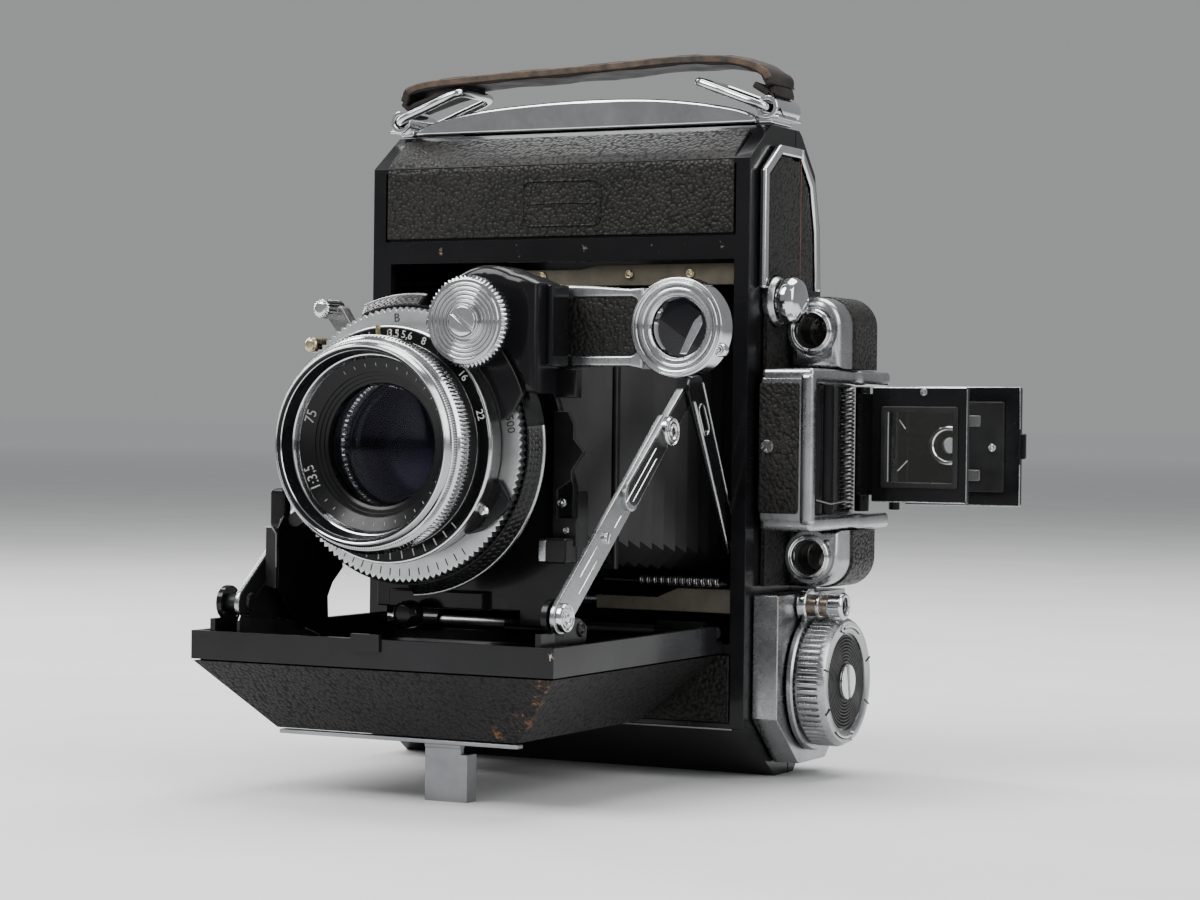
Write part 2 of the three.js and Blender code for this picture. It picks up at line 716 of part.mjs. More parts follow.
function rangefinderArm() {
  const eye = rod('y', pivotX, pivotZ, 8, armLaneFront, armLaneBack, 36);
  const bar = box(pivotX, armWindowX - 4, armLaneFront, armLaneBack, 71.6, 83.6);
  const ring = rod('y', armWindowX, armWindowZ, 7.9, armLaneFront, armLaneBack, 44);
  const bore = rod('y', armWindowX, armWindowZ, 4.7, -50, -30, 32);
  const pivotBore = rod('y', pivotX, pivotZ, 2.3, -50, -30, 20);
  const panel = box(24.6, 37.2, armLaneFront - 1, armLaneFront + 0.7, 72.9, 82.3);
  return eye.add(bar).add(ring).subtract(bore).subtract(pivotBore).subtract(panel);
}
add('rangefinder_arm', rangefinderArm(), satinChrome);
add('wedge_glass', rod('y', armWindowX, armWindowZ, 4.4, -43.2, -41.2, 28), clearGlass);

// ---- finder block on the side ----
const blockX0 = 39.4;
const blockX1 = 49.2;
const finderHingeY = 24.8;
const finderHingeX = 49.5;
const eyeHingeX = 50.5;
const eyeHingeY = 38.2;
function ledge(z0, z1) {
  const outline = [[blockX0, 2.6], [blockX1, 2.6], [blockX1, 22], [51.6, 24], [51.9, 37.5], [51, 39.6],
      [48, 39.6], [44, 33.6], [blockX0, 33.6]];
  return prismZ(outline, z0, z1);
}
function finderBlock() {
  const front = box(blockX0, blockX1, 2.6, 3.5, 46, 70);
  const floor = box(blockX0, blockX0 + 3.2, 2.6, 33.6, 46, 70);
  const rear = box(blockX0, 44, 32, 33.6, 46, 70);
  return front.add(floor).add(rear).add(ledge(44, 46.6)).add(ledge(69.5, 72));
}
add('finder_block', finderBlock(), satinChrome);

function lobe(zLow, zHigh, windowZ, roundUp) {
  const radius = 5;
  const z0 = roundUp ? zLow : zHigh;
  const z1 = roundUp ? zHigh : zLow;
  const turn = roundUp ? 1 : -1;
  const points = [[blockX0, z0], [blockX1, z0]];
  for (let i = 0; i <= 6; i += 1) {
    const t = (Math.PI / 2) * (i / 6);
    points.push([blockX1 - radius + radius * Math.cos(t), z1 + turn * (radius * Math.sin(t) - radius)]);
  }
  points.push([blockX0, z1]);
  const outline = roundUp ? points : points.reverse();
  const window = rod('y', 43.9, windowZ, 3, 10, 20, 28);
  return prismY(outline, 14.6, 32).subtract(window);
}
add('upper_lobe', lobe(72.3, 84.9, 78.9, true), satinChrome);
add('lower_lobe', lobe(33.7, 43.7, 39, false), satinChrome);

// Folding finder: the front frame with its glass, and the eye plate behind it.
function finderFrame() {
  const plate = box(52.6, 70.3, 21.6, 23, 48.9, 69.1).subtract(box(54.8, 68.4, 20, 25, 51.8, 65.4));
  const arm = box(49.3, 53, 22.4, 24, 50, 68);
  const barrel = rod('z', finderHingeX, finderHingeY, 1.3, 47, 69.2, 16);
  return plate.add(arm).add(barrel);
}
add('finder_frame', finderFrame(), blackLacquer);
add('finder_glass', box(55.1, 68.1, 21.9, 22.7, 52.1, 65.1), clearGlass);
function finderEyePlate() {
  const plate = box(52.4, 74.3, 38.6, 39.8, 48.5, 69.3).subtract(rod('y', 61, 58.9, 1.4, 35, 45, 16));
  const arm = box(50.5, 53, 38, 39.2, 50, 68);
  const barrel = rod('z', eyeHingeX, eyeHingeY, 1, 47, 69.2, 16);
  const tab = box(74.1, 75.3, 38.6, 39.6, 56.6, 61.2);
  return plate.add(arm).add(barrel).add(tab);
}
add('finder_eye_plate', finderEyePlate(), blackLacquer);

// ---- controls ----
add(
  'bed_button',
  turned('x', buttonY, buttonZ, [[0, 34.6], [2.2, 34.6], [2.2, 41], [4.2, 41], [4.3, 42.6], [3.4, 44],
      [0, 44.6]], 28),
  chrome,
);

const knobBaseX = 43;
function knobBase() {
  const outline = [[3, 11], [12.7, 2.6], [25, 2.6], [33.5, 10], [33.5, 32.6], [3, 32.6]];
  const block = prismX(outline, sideFace, knobBaseX);
  return block.subtract(rod('x', knobY, knobZ, 2.6, 30, 50, 24)).subtract(rod('x', plungerY, plungerZ,
      1.7, 30, 50, 20));
}
add('knob_base', knobBase(), satinChrome);

function windingKnob() {
  const knob = turned(
    'x',
    knobY,
    knobZ,
    [[0, 33], [2.2, 33], [2.2, 43.3], [12.4, 43.3], [12.4, 44.4], [11.5, 44.8], [11.5, 48.8], [11, 50],
        [8.6, 50], [8.4, 49.3], [0, 49.3]],
    48,
  );
  const blade = box(30.4, 33.4, knobY - 0.9, knobY + 0.9, knobZ - 1.9, knobZ + 1.9);
  return knob.add(blade);
}
add('winding_knob', windingKnob(), chrome);

add(
  'release_socket',
  turned(
    'x',
    plungerY,
    plungerZ,
    [[1.5, 43.3], [3, 43.3], [3, 45], [1.9, 45.3], [1.9, 47.6], [2.3, 47.9], [2.3, 50.4], [1.5, 50.4]],
    28,
  ).subtract(rod('x', knobY, knobZ, 12.8, 43, 46, 48)),
  chrome,
);
add('shutter_plunger', rod('x', plungerY, plungerZ, 1.1, 34.8, 49.4, 20), satinChrome);

add(
  'standard_catch',
  rod('y', -3, 30.1, 2.3, -46.4, -43.4, 20).add(rod('y', -3, 30.1, 1.2, -44, -41.6, 12)),
  blackLacquer,
);

export default outer;
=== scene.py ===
import math
import random

import bmesh
import bpy
from mathutils import Matrix, Vector


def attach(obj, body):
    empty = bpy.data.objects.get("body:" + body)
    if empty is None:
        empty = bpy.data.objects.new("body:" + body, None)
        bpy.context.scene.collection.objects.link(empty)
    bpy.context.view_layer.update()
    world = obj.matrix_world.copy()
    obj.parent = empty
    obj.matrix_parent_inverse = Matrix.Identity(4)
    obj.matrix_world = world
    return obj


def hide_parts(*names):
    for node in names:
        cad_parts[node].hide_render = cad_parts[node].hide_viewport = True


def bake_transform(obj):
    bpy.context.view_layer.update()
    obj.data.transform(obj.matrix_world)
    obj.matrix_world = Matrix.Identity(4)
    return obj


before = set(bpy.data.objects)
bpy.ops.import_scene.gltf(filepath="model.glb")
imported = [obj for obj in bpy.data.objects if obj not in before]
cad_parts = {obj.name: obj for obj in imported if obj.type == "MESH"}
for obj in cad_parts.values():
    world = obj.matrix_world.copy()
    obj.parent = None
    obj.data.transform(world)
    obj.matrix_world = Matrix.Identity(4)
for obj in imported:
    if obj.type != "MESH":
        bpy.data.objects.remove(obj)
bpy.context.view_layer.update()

MM = 0.001
BODY_MID = 17.0
LENS = (0.4, 58.3)
WHEEL = (15.9, 78)
WINDOW = (45.5, 77.5)
KNOB = (18, 17)
SOCKET = (13.2, 30.6)
BUTTON = (9.5, 84)
EYE_HOLE = (61.0, 58.9)
BODY = "camera_body"
VIEW_PLACE = (0.24485, -0.47688, 0.06202)
VIEW_YAW, VIEW_PITCH, VIEW_ROLL = 27.10, -0.51, 0.69
VIEW_LENS = 87.32
FLOOR_HALF = 40
random.seed(7)


# Shapes are in millimetres from the middle of the body's front face, at the floor. The camera and the lights are
# placed in metres, in the row frame.
def P(x, y, z):
    return Vector((x * MM, (y - BODY_MID) * MM, z * MM))


# ---------------------------------------------------------------- camera, light and floor
def add_camera():
    data = bpy.data.cameras.new("view")
    data.lens = VIEW_LENS
    data.sensor_width = 36
    yaw, pitch, roll = (math.radians(a) for a in (VIEW_YAW, VIEW_PITCH, VIEW_ROLL))
    forward = Vector((-math.sin(yaw) * math.cos(pitch), math.cos(yaw) * math.cos(pitch), math.sin(pitch)))
    right = Vector((math.cos(yaw), math.sin(yaw), 0))
    up = right.cross(forward)
    c, s = math.cos(roll), math.sin(roll)
    tilted_right = right * c + up * s
    tilted_up = up * c - right * s
    obj = bpy.data.objects.new("view", data)
    turn = Matrix((tilted_right, tilted_up, -forward)).transposed().to_4x4()
    obj.matrix_world = Matrix.Translation(VIEW_PLACE) @ turn
    bpy.context.scene.collection.objects.link(obj)
    bpy.context.scene.camera = obj


def add_light(name, place, aim, size, power, size_y=None):
    data = bpy.data.lights.new(name, "AREA")
    data.energy = power
    data.size = size
    if size_y:
        data.shape = "RECTANGLE"
        data.size_y = size_y
    obj = bpy.data.objects.new(name, data)
    obj.location = place
    obj.rotation_euler = (Vector(aim) - Vector(place)).to_track_quat("-Z", "Y").to_euler()
    bpy.context.scene.collection.objects.link(obj)


def add_stage():
    world = bpy.data.worlds.new("studio")
    bpy.context.scene.world = world
    world.use_nodes = True
    back = world.node_tree.nodes["Background"]
    back.inputs["Color"].default_value = (0.78, 0.79, 0.80, 1)
    back.inputs["Strength"].default_value = 0.42
    mesh = bpy.data.meshes.new("floor")
    corners = [(x * FLOOR_HALF, y * FLOOR_HALF, 0) for x, y in ((-1, -1), (1, -1), (1, 1), (-1, 1))]
    mesh.from_pydata(corners, [], [(0, 1, 2, 3)])
    floor = bpy.data.objects.new("floor", mesh)
    bpy.context.scene.collection.objects.link(floor)
    paint = Look("floor_paint")
    # Painted light: the floor's colour lightens from 1 m to 6 m out from the middle, standing in for light the
    # far floor doesn't get.
    far = paint.node("ShaderNodeVectorMath")
    far.operation = "LENGTH"
    paint.link(paint.place, far.inputs[0])
    near_paint = paint.ramp(paint.noise(14, 4), (0.66, 0.665, 0.67), (0.72, 0.72, 0.72))
    paint.colour(
        paint.mix(paint.span(far.outputs["Value"], 0.0, 1.0, 1.0, 6.0), near_paint, (0.97, 0.975, 0.98)))
    paint.set("Roughness", 0.7)
    paint.set("Specular IOR Level", 0.0)
    mesh.materials.append(paint.mat)
    add_light("key", (-0.35, -0.55, 0.75), (0, 0, 0.06), 0.55, 11)
    add_light("fill", (0.75, -0.25, 0.5), (0, 0, 0.06), 0.5, 5.0, 0.75)
    add_light("top", (0.05, 0.25, 0.8), (0, 0, 0.08), 0.6, 8)
    add_light("left_strip", (-0.6, 0.15, 0.42), (0, -0.02, 0.07), 0.12, 3.0, 0.6)


# ---------------------------------------------------------------- materials
class Look:
    """One procedural material. Object coordinates are metres in the row frame."""

    def __init__(self, name):
        self.mat = bpy.data.materials.new(name)
        self.mat.use_nodes = True
        self.tree = self.mat.node_tree
        self.tree.nodes.clear()
        self.shader = self.node("ShaderNodeBsdfPrincipled")
        end = self.node("ShaderNodeOutputMaterial")
        self.link(self.shader.outputs[0], end.inputs["Surface"])
        self.place = self.node("ShaderNodeTexCoord").outputs["Object"]

    def node(self, kind):
        return self.tree.nodes.new(kind)

    def link(self, a, b):
        self.tree.links.new(a, b)

    def set(self, socket, value):
        self.shader.inputs[socket].default_value = value

    def colour(self, out):
        self.link(out, self.shader.inputs["Base Color"])

    def noise(self, scale, detail=5.0, rough=0.55, place=None, twist=0.0):
        n = self.node("ShaderNodeTexNoise")
        n.inputs["Scale"].default_value = scale
        n.inputs["Detail"].default_value = detail
        n.inputs["Roughness"].default_value = rough
        n.inputs["Distortion"].default_value = twist
        self.link(place or self.place, n.inputs["Vector"])
        return n.outputs["Fac"]

    def stretch(self, sx, sy, sz):
        n = self.node("ShaderNodeMapping")
        n.inputs["Scale"].default_value = (sx, sy, sz)
        self.link(self.place, n.inputs["Vector"])
        return n.outputs[0]

    def cells(self, scale, feature="DISTANCE_TO_EDGE", place=None):
        n = self.node("ShaderNodeTexVoronoi")
        n.feature = feature
        n.inputs["Scale"].default_value = scale
        self.link(place or self.place, n.inputs["Vector"])
        return n.outputs["Distance"]

    def span(self, value, lo, hi, start=0.0, end=1.0):
        n = self.node("ShaderNodeMapRange")
        n.inputs["From Min"].default_value = start
        n.inputs["From Max"].default_value = end
        n.inputs["To Min"].default_value = lo
        n.inputs["To Max"].default_value = hi
        self.link(value, n.inputs["Value"])
        return n.outputs[0]

    def ramp(self, value, *colours, start=0.3, end=0.7):
        n = self.node("ShaderNodeValToRGB")
        last = len(colours) - 1
        while len(n.color_ramp.elements) < len(colours):
            n.color_ramp.elements.new(0.5)
        for i, c in enumerate(colours):
            n.color_ramp.elements[i].position = start + (end - start) * i / last
            n.color_ramp.elements[i].color = (*c, 1)
        self.link(value, n.inputs["Fac"])
        return n.outputs["Color"]

    def mix(self, share, a, b):
        n = self.node("ShaderNodeMix")
        n.data_type = "RGBA"
        self.link(share, n.inputs["Factor"])
        for out, socket in ((a, n.inputs[6]), (b, n.inputs[7])):
            if isinstance(out, tuple):
                socket.default_value = (*out, 1)
            else:
                self.link(out, socket)
        return n.outputs[2]

    def calc(self, kind, a, b=None):
        n = self.node("ShaderNodeMath")
        n.operation = kind
        for i, v in enumerate((a, b)):
            if v is None:
                continue
            if isinstance(v, (int, float)):
                n.inputs[i].default_value = v
            else:
                self.link(v, n.inputs[i])
        return n.outputs[0]

    def near(self, point, reach):
        """1 at a point and 0 beyond reach, in millimetres."""
        n = self.node("ShaderNodeVectorMath")
        n.operation = "DISTANCE"
        self.link(self.place, n.inputs[0])
        n.inputs[1].default_value = P(*point)
        return self.span(n.outputs["Value"], 1.0, 0.0, 0.0, reach * MM)

    def along(self, axis):
        n = self.node("ShaderNodeSeparateXYZ")
        self.link(self.place, n.inputs[0])
        return n.outputs[axis]

    def relief(self, height, strength, depth):
        n = self.node("ShaderNodeBump")
        n.inputs["Strength"].default_value = strength
        n.inputs["Distance"].default_value = depth * MM
        self.link(height, n.inputs["Height"])
        self.link(n.outputs[0], self.shader.inputs["Normal"])

    def chips(self, worn_spots, base, chip, level=0.6):
        """Mixes the base colour with a chipped colour close to the worn spots."""
        share = None
        for point, reach in worn_spots:
            one = self.near(point, reach)
            share = one if share is None else self.calc("MAXIMUM", share, one)
        speck = self.calc("MULTIPLY", self.noise(900, 6, 0.7), self.calc("POWER", share, 0.35))
        mask = self.span(speck, 0.0, 1.0, level - 0.03, level + 0.03)
        return self.mix(mask, base, chip)


def lacquer_look(name, spots=(), level=0.6):
    k = Look(name)
    base = k.ramp(k.noise(45, 8, 0.6), (0.0035, 0.0035, 0.004), (0.009, 0.009, 0.010))
    if spots:
        base = k.chips(spots, base, k.ramp(k.noise(500, 2), (0.10, 0.06, 0.03), (0.42, 0.38, 0.33)), level)
    k.colour(base)
    k.link(k.span(k.noise(26, 9, 0.65), 0.09, 0.30, 0.3, 0.7), k.shader.inputs["Roughness"])
    k.set("Specular IOR Level", 0.2)
    k.set("Coat Weight", 0.1)
    k.set("Coat Roughness", 0.06)
    k.relief(k.noise(420, 3), 0.08, 0.05)
    return k.mat


def leather_look(name, dark, light, cell, depth=0.16, spots=(), brown=(0.16, 0.075, 0.03)):
    k = Look(name)
    wobble = k.node("ShaderNodeVectorMath")
    wobble.operation = "ADD"
    push = k.node("ShaderNodeTexNoise")
    push.inputs["Scale"].default_value = 700
    k.link(k.place, push.inputs["Vector"])
    small = k.node("ShaderNodeVectorMath")
    small.operation = "SCALE"
    small.inputs["Scale"].default_value = 0.0005
    k.link(push.outputs["Color"], small.inputs[0])
    k.link(k.place, wobble.inputs[0])
    k.link(small.outputs[0], wobble.inputs[1])
    near_mid = k.cells(1 / (cell * MM), "F1", wobble.outputs[0])
    pebble = k.calc("SUBTRACT", 1.0, k.calc("POWER", k.span(near_mid, 0.0, 1.0, 0.0, 0.85), 2.2))
    fine = k.noise(2600, 3)
    height = k.calc("ADD", pebble, k.calc("MULTIPLY", fine, 0.18))
    patch = k.noise(60, 6)
    # Pebble tops are painted lighter and creases darker: the lighter tops are partly wear and partly painted
    # highlight, the darker creases are painted shade.
    grain_shade_tone = k.calc("MULTIPLY", pebble, k.span(patch, 0.55, 1.1, 0.3, 0.7))
    base = k.ramp(grain_shade_tone, dark, light, start=0.25, end=1.0)
    if spots:
        base = k.chips(spots, base, brown, 0.5)
    k.colour(base)
    k.set("Specular IOR Level", 0.22)
    k.link(k.span(pebble, 0.66, 0.36), k.shader.inputs["Roughness"])
    k.relief(height, 0.9, depth)
    return k.mat


def metal_look(name, dark, light, rough, brushed=None):
    k = Look(name)
    k.colour(k.ramp(k.noise(120, 7, 0.65), dark, light))
    k.set("Metallic", 1.0)
    where = k.stretch(*brushed) if brushed else None
    scratch = k.noise(900, 5, 0.7, place=where)
    blot = k.noise(70, 6, 0.6)
    both = k.calc("ADD", k.calc("MULTIPLY", scratch, 0.5), k.calc("MULTIPLY", blot, 0.5))
    k.link(k.span(both, rough[0], rough[1], 0.35, 0.65), k.shader.inputs["Roughness"])
    k.relief(scratch, 0.12, 0.02)
    return k.mat


def plain_look(name, dark, light, rough, shine=0.5, grain=300, depth=0.05, strength=0.2):
    k = Look(name)
    k.set("Specular IOR Level", shine)
    k.colour(k.ramp(k.noise(grain, 6, 0.6), dark, light))
    k.link(k.span(k.noise(grain * 0.7, 5), rough[0], rough[1], 0.3, 0.7), k.shader.inputs["Roughness"])
    k.relief(k.noise(grain * 3, 4), strength, depth)
    return k.mat


def glass_look(name, tint, shine, ior=1.55, rough=0.02):
    k = Look(name)
    k.colour(k.ramp(k.noise(90, 4), tint, tuple(min(1, c * 1.05) for c in tint)))
    k.set("Transmission Weight", 1.0)
    k.set("IOR", ior)
    k.set("Specular Tint", (*shine, 1))
    k.link(k.span(k.noise(200, 6), 0.0, rough, 0.4, 0.8), k.shader.inputs["Roughness"])
    return k.mat


def coated_look(name, shine):
    k = Look(name)
    k.colour(k.ramp(k.noise(80, 4), (0.001, 0.001, 0.002), (0.004, 0.003, 0.008)))
    k.set("IOR", 1.6)
    k.set("Specular Tint", (*shine, 1))
    k.link(k.span(k.noise(220, 5), 0.01, 0.04, 0.3, 0.7), k.shader.inputs["Roughness"])
    return k.mat


band_spots = [((x, 0, 93.2), 3.6) for x in (-30, -24, -13, -7, -1, 6, 12, 20, 27, 33)]
chipped_edge = [((33.9, -62.4, 26), 5), ((-33.8, -62.4, 26.5), 4)]
worn_corner = [((32.5, -61.5, 20.5), 5.5), ((29.5, -59, 17.5), 5), ((26, -56.4, 14), 6),
    ((20, -54.5, 12.4), 3.5)]
M = {
    "lacquer": lacquer_look("lacquer", band_spots, 0.59),
    "bed_lacquer": lacquer_look("bed_lacquer", chipped_edge, 0.6),
    "gloss": lacquer_look("gloss"),
    "leather": leather_look("leather", (0.003, 0.0028, 0.0027), (0.022, 0.020, 0.018), 0.66),
    "bed_leather": leather_look("bed_leather", (0.0025,) * 3, (0.014, 0.013, 0.012), 0.62, 0.12, worn_corner),
    "glass": glass_look("glass", (0.90, 0.90, 0.92), (0.10, 0.10, 0.15), 1.5, 0.0),
    "finder_glass": glass_look("finder_glass", (0.90, 0.93, 0.92), (1.0, 0.95, 0.85), 1.5),
    "coated": coated_look("coated", (0.06, 0.06, 0.13)),
    "red_glass": glass_look("red_glass", (0.5, 0.02, 0.015), (1, 0.8, 0.8)),
}
# Each row: dark colour, light colour, roughness from and to, and the stretch of the brushing.
for name, *how in (
    ("chrome", (0.50, 0.51, 0.52), (0.68, 0.69, 0.70), (0.05, 0.17)),
    ("satin", (0.30, 0.31, 0.315), (0.46, 0.47, 0.475), (0.20, 0.34), (1, 0.15, 1)),
    ("scale", (0.44, 0.45, 0.455), (0.58, 0.59, 0.595), (0.30, 0.42)),
    ("bright", (0.60, 0.61, 0.62), (0.78, 0.78, 0.79), (0.08, 0.20)),
    ("bezel_metal", (0.34, 0.345, 0.35), (0.50, 0.505, 0.51), (0.12, 0.26)),
    ("steel", (0.13, 0.13, 0.13), (0.26, 0.255, 0.25), (0.28, 0.45)),
    ("brass", (0.34, 0.27, 0.14), (0.62, 0.55, 0.38), (0.18, 0.36)),
    ("neck", (0.08, 0.055, 0.035), (0.34, 0.29, 0.24), (0.2, 0.42)),
    ("foot", (0.26, 0.27, 0.28), (0.36, 0.37, 0.38), (0.36, 0.52)),
):
    M[name] = metal_look(name, *how)
# Each row: dark colour, light colour, roughness from and to, shine, grain, depth and strength of the relief.
for name, *how in (
    ("black_metal", (0.006, 0.006, 0.006), (0.016, 0.016, 0.016), (0.3, 0.45), 0.28),
    ("face_black", (0.0025, 0.0025, 0.003), (0.006, 0.006, 0.0065), (0.20, 0.34), 0.22, 200, 0.02, 0.08),
    ("ridge", (0.006, 0.006, 0.006), (0.014, 0.014, 0.015), (0.16, 0.28), 0.3, 500, 0.02, 0.1),
    ("matt", (0.002, 0.002, 0.002), (0.005, 0.005, 0.005), (0.6, 0.8), 0.2),
    ("cloth", (0.0015, 0.0015, 0.0018), (0.006, 0.006, 0.006), (0.45, 0.6), 0.5, 160, 0.12, 0.4),
    ("strap", (0.004, 0.0033, 0.0028), (0.018, 0.012, 0.009), (0.5, 0.75), 0.3, 220, 0.2, 0.6),
    ("strap_edge", (0.010, 0.007, 0.005), (0.09, 0.055, 0.032), (0.6, 0.8), 0.5, 420, 0.25, 0.7),
    ("paint", (0.55, 0.55, 0.53), (0.72, 0.72, 0.70), (0.4, 0.6), 0.5, 700, 0.02),
    ("dull_mark", (0.26, 0.26, 0.25), (0.46, 0.46, 0.44), (0.4, 0.6), 0.5, 700, 0.02),
    ("ink", (0.006, 0.006, 0.006), (0.015, 0.015, 0.016), (0.4, 0.55), 0.5, 700, 0.02),
    ("khaki", (0.045, 0.038, 0.024), (0.10, 0.085, 0.055), (0.4, 0.6), 0.5, 200),
    ("beige", (0.10, 0.09, 0.07), (0.19, 0.17, 0.13), (0.4, 0.6), 0.5, 200),
    ("crack", (0.05, 0.015, 0.008), (0.12, 0.05, 0.03), (0.5, 0.8), 0.5, 400),
):
    M[name] = plain_look(name, *how)

# The material slot each look goes to, where the piece doesn't name another.
SLOT_OF = {look: slot for slot,
    looks in {"lacquer": "lacquer bed_lacquer gloss ridge black_metal face_black paint dull_mark ink",
        "leather": "leather bed_leather crack", "chrome": "chrome bezel_metal neck",
        "satin": "satin scale bright steel brass foot", "dark_metal": "matt khaki beige",
        "glass": "glass finder_glass coated red_glass", "bellows": "cloth",
        "strap": "strap strap_edge"}.items() for look in looks.split()}


# ---------------------------------------------------------------- shapes
def finished(bm, name, merge=1e-7):
    bmesh.ops.remove_doubles(bm, verts=bm.verts, dist=merge)
    bmesh.ops.recalc_face_normals(bm, faces=bm.faces)
    mesh = bpy.data.meshes.new(name)
    bm.to_mesh(mesh)
    bm.free()
    return mesh


def join_rows(bm, rows, row_closed, all_closed=False):
    """Faces between neighbouring rows of vertices."""
    for j in range(len(rows) if all_closed else len(rows) - 1):
        here, after = rows[j], rows[(j + 1) % len(rows)]
        for k in range(len(here) if row_closed else len(here) - 1):
            m = (k + 1) % len(here)
            bm.faces.new((here[k], after[k], after[m], here[m]))


def round_edges(bm, degrees, size, segments):
    """Bevels every edge sharper than that."""
    bmesh.ops.recalc_face_normals(bm, faces=bm.faces)
    edges = [e for e in bm.edges if e.calc_face_angle(0) > math.radians(degrees)]
    bmesh.ops.bevel(bm, geom=edges, offset=size * MM, segments=segments, profile=0.5, affect="EDGES")


def axis_point(axis, centre, r, a, t):
    u, v = centre[0] + r * math.cos(a), centre[1] + r * math.sin(a)
    if axis == "y":
        return P(u, t, v)
    return P(t, u, v) if axis == "x" else P(u, v, t)


def lens_point(r, degrees, y=None):
    """A point round the lens axis: (x, z), or (x, y, z) where y is given."""
    a = math.radians(degrees)
    x, z = LENS[0] + r * math.cos(a), LENS[1] + r * math.sin(a)
    return (x, z) if y is None else (x, y, z)


def soften(points, radius, closed=True, parts=3):
    """Rounds the corners of a polyline. Points on an axis (first value 0) stay."""
    out = []
    n = len(points)
    for i, p in enumerate(points):
        if (not closed and i in (0, n - 1)) or radius <= 0:
            out.append(p)
            continue
        a, b = points[i - 1], points[(i + 1) % n]
        pa = (a[0] - p[0], a[1] - p[1])
        pb = (b[0] - p[0], b[1] - p[1])
        la, lb = math.hypot(*pa), math.hypot(*pb)
        if la < 1e-9 or lb < 1e-9:
            out.append(p)
            continue
        d = min(radius, 0.45 * la, 0.45 * lb)
        s = (p[0] + pa[0] / la * d, p[1] + pa[1] / la * d)
        e = (p[0] + pb[0] / lb * d, p[1] + pb[1] / lb * d)
        for k in range(parts + 1):
            t = k / parts
            w0, w1, w2 = (1 - t) ** 2, 2 * t * (1 - t), t * t
            out.append((s[0] * w0 + p[0] * w1 + e[0] * w2, s[1] * w0 + p[1] * w1 + e[1] * w2))
    return out


def lathe(axis, centre, profile, steps=96, ripple=None, arc=None, closed=True, soft=0.12):
    """Turns a closed profile of (radius, place along the axis) pairs about the axis."""
    if soft:
        profile = soften(profile, soft, closed and not any(p[0] < 1e-6 for p in profile))
    full = arc is None
    a0, a1 = (0.0, 2 * math.pi) if full else (math.radians(arc[0]), math.radians(arc[1]))
    count = steps if full else steps + 1
    bm = bmesh.new()
    rings = []
    for j in range(count):
        a = a0 + (a1 - a0) * j / steps
        ring = []
        for r, t in profile:
            dr, dt = ripple(r, t, a) if ripple else (0.0, 0.0)
            ring.append(bm.verts.new(axis_point(axis, centre, max(0.0, r + dr), a, t + dt)))
        rings.append(ring)
    join_rows(bm, rings, closed, full)
    if not full and closed:
        bm.faces.new(rings[0])
        bm.faces.new(rings[-1])
    return finished(bm, "turned")


def curve_mesh(curve):
    obj = bpy.data.objects.new("temporary", curve)
    bpy.context.scene.collection.objects.link(obj)
    shape = obj.evaluated_get(bpy.context.evaluated_depsgraph_get())
    mesh = bpy.data.meshes.new_from_object(shape)
    bpy.data.objects.remove(obj)
    bpy.data.curves.remove(curve)
    return mesh


PLANES = {
    "xz": ((1, 0, 0), (0, 0, 1), (0, -1, 0)),
    "yz": ((0, 1, 0), (0, 0, 1), (1, 0, 0)),
    "xy": ((1, 0, 0), (0, 1, 0), (0, 0, 1)),
}


def plate(plane, outline, lo, hi, bevel=0.25, holes=(), corner=0.0, parts=3):
    """A flat plate of that outline with rounded edges, from lo to hi across its plane."""
    half = (hi - lo) / 2
    bevel = min(bevel, half * 0.9)
    curve = bpy.data.curves.new("plate", "CURVE")
    curve.dimensions = "2D"
    curve.fill_mode = "BOTH"
    curve.extrude = (half - bevel) * MM
    curve.bevel_depth = bevel * MM
    curve.bevel_resolution = 2
    curve.offset = -bevel * MM
    for ring in [soften(outline, corner, True, parts) if corner else outline, *holes]:
        line = curve.splines.new("POLY")
        line.points.add(len(ring) - 1)
        for i, (u, v) in enumerate(ring):
            line.points[i].co = (u * MM, v * MM, 0, 1)
        line.use_cyclic_u = True
    mesh = curve_mesh(curve)
    right, up, out = (Vector(v) for v in PLANES[plane])
    turn = Matrix((right, up, out)).transposed().to_4x4()
    middle = (lo + hi) / 2
    shift = Vector((0, -BODY_MID, 0)) + middle * Vector([abs(c) for c in out])
    mesh.transform(Matrix.Translation(shift * MM) @ turn)
    bm = bmesh.new()
    bm.from_mesh(mesh)
    bpy.data.meshes.remove(mesh)
    return finished(bm, "plate", 2e-7)


def circle(cu, cv, r, steps=48, start=0.0, end=360.0):
    whole = abs(end - start) >= 359.9
    count = steps if whole else steps + 1
    return [
        (
            cu + r * math.cos(math.radians(start + (end - start) * i / steps)),
            cv + r * math.sin(math.radians(start + (end - start) * i / steps)),
        )
        for i in range(count)
    ]


def rect(u0, u1, v0, v1):
    return [(u0, v0), (u1, v0), (u1, v1), (u0, v1)]


def rounded(u0, u1, v0, v1, r, parts=5):
    return soften(rect(u0, u1, v0, v1), r, True, parts)


def slot_shape(a, b, ra, rb, steps=14):
    """The outline round two circles, ra at a and rb at b."""
    ang = math.atan2(b[1] - a[1], b[0] - a[0])
    span = math.hypot(b[0] - a[0], b[1] - a[1])
    tilt = math.acos(max(-1, min(1, (ra - rb) / span)))
    out = []
    for i in range(steps + 1):
        t = ang + tilt + (2 * math.pi - 2 * tilt) * i / steps
        out.append((a[0] + ra * math.cos(t), a[1] + ra * math.sin(t)))
    for i in range(steps + 1):
        t = ang - tilt + 2 * tilt * i / steps
        out.append((b[0] + rb * math.cos(t), b[1] + rb * math.sin(t)))
    return out


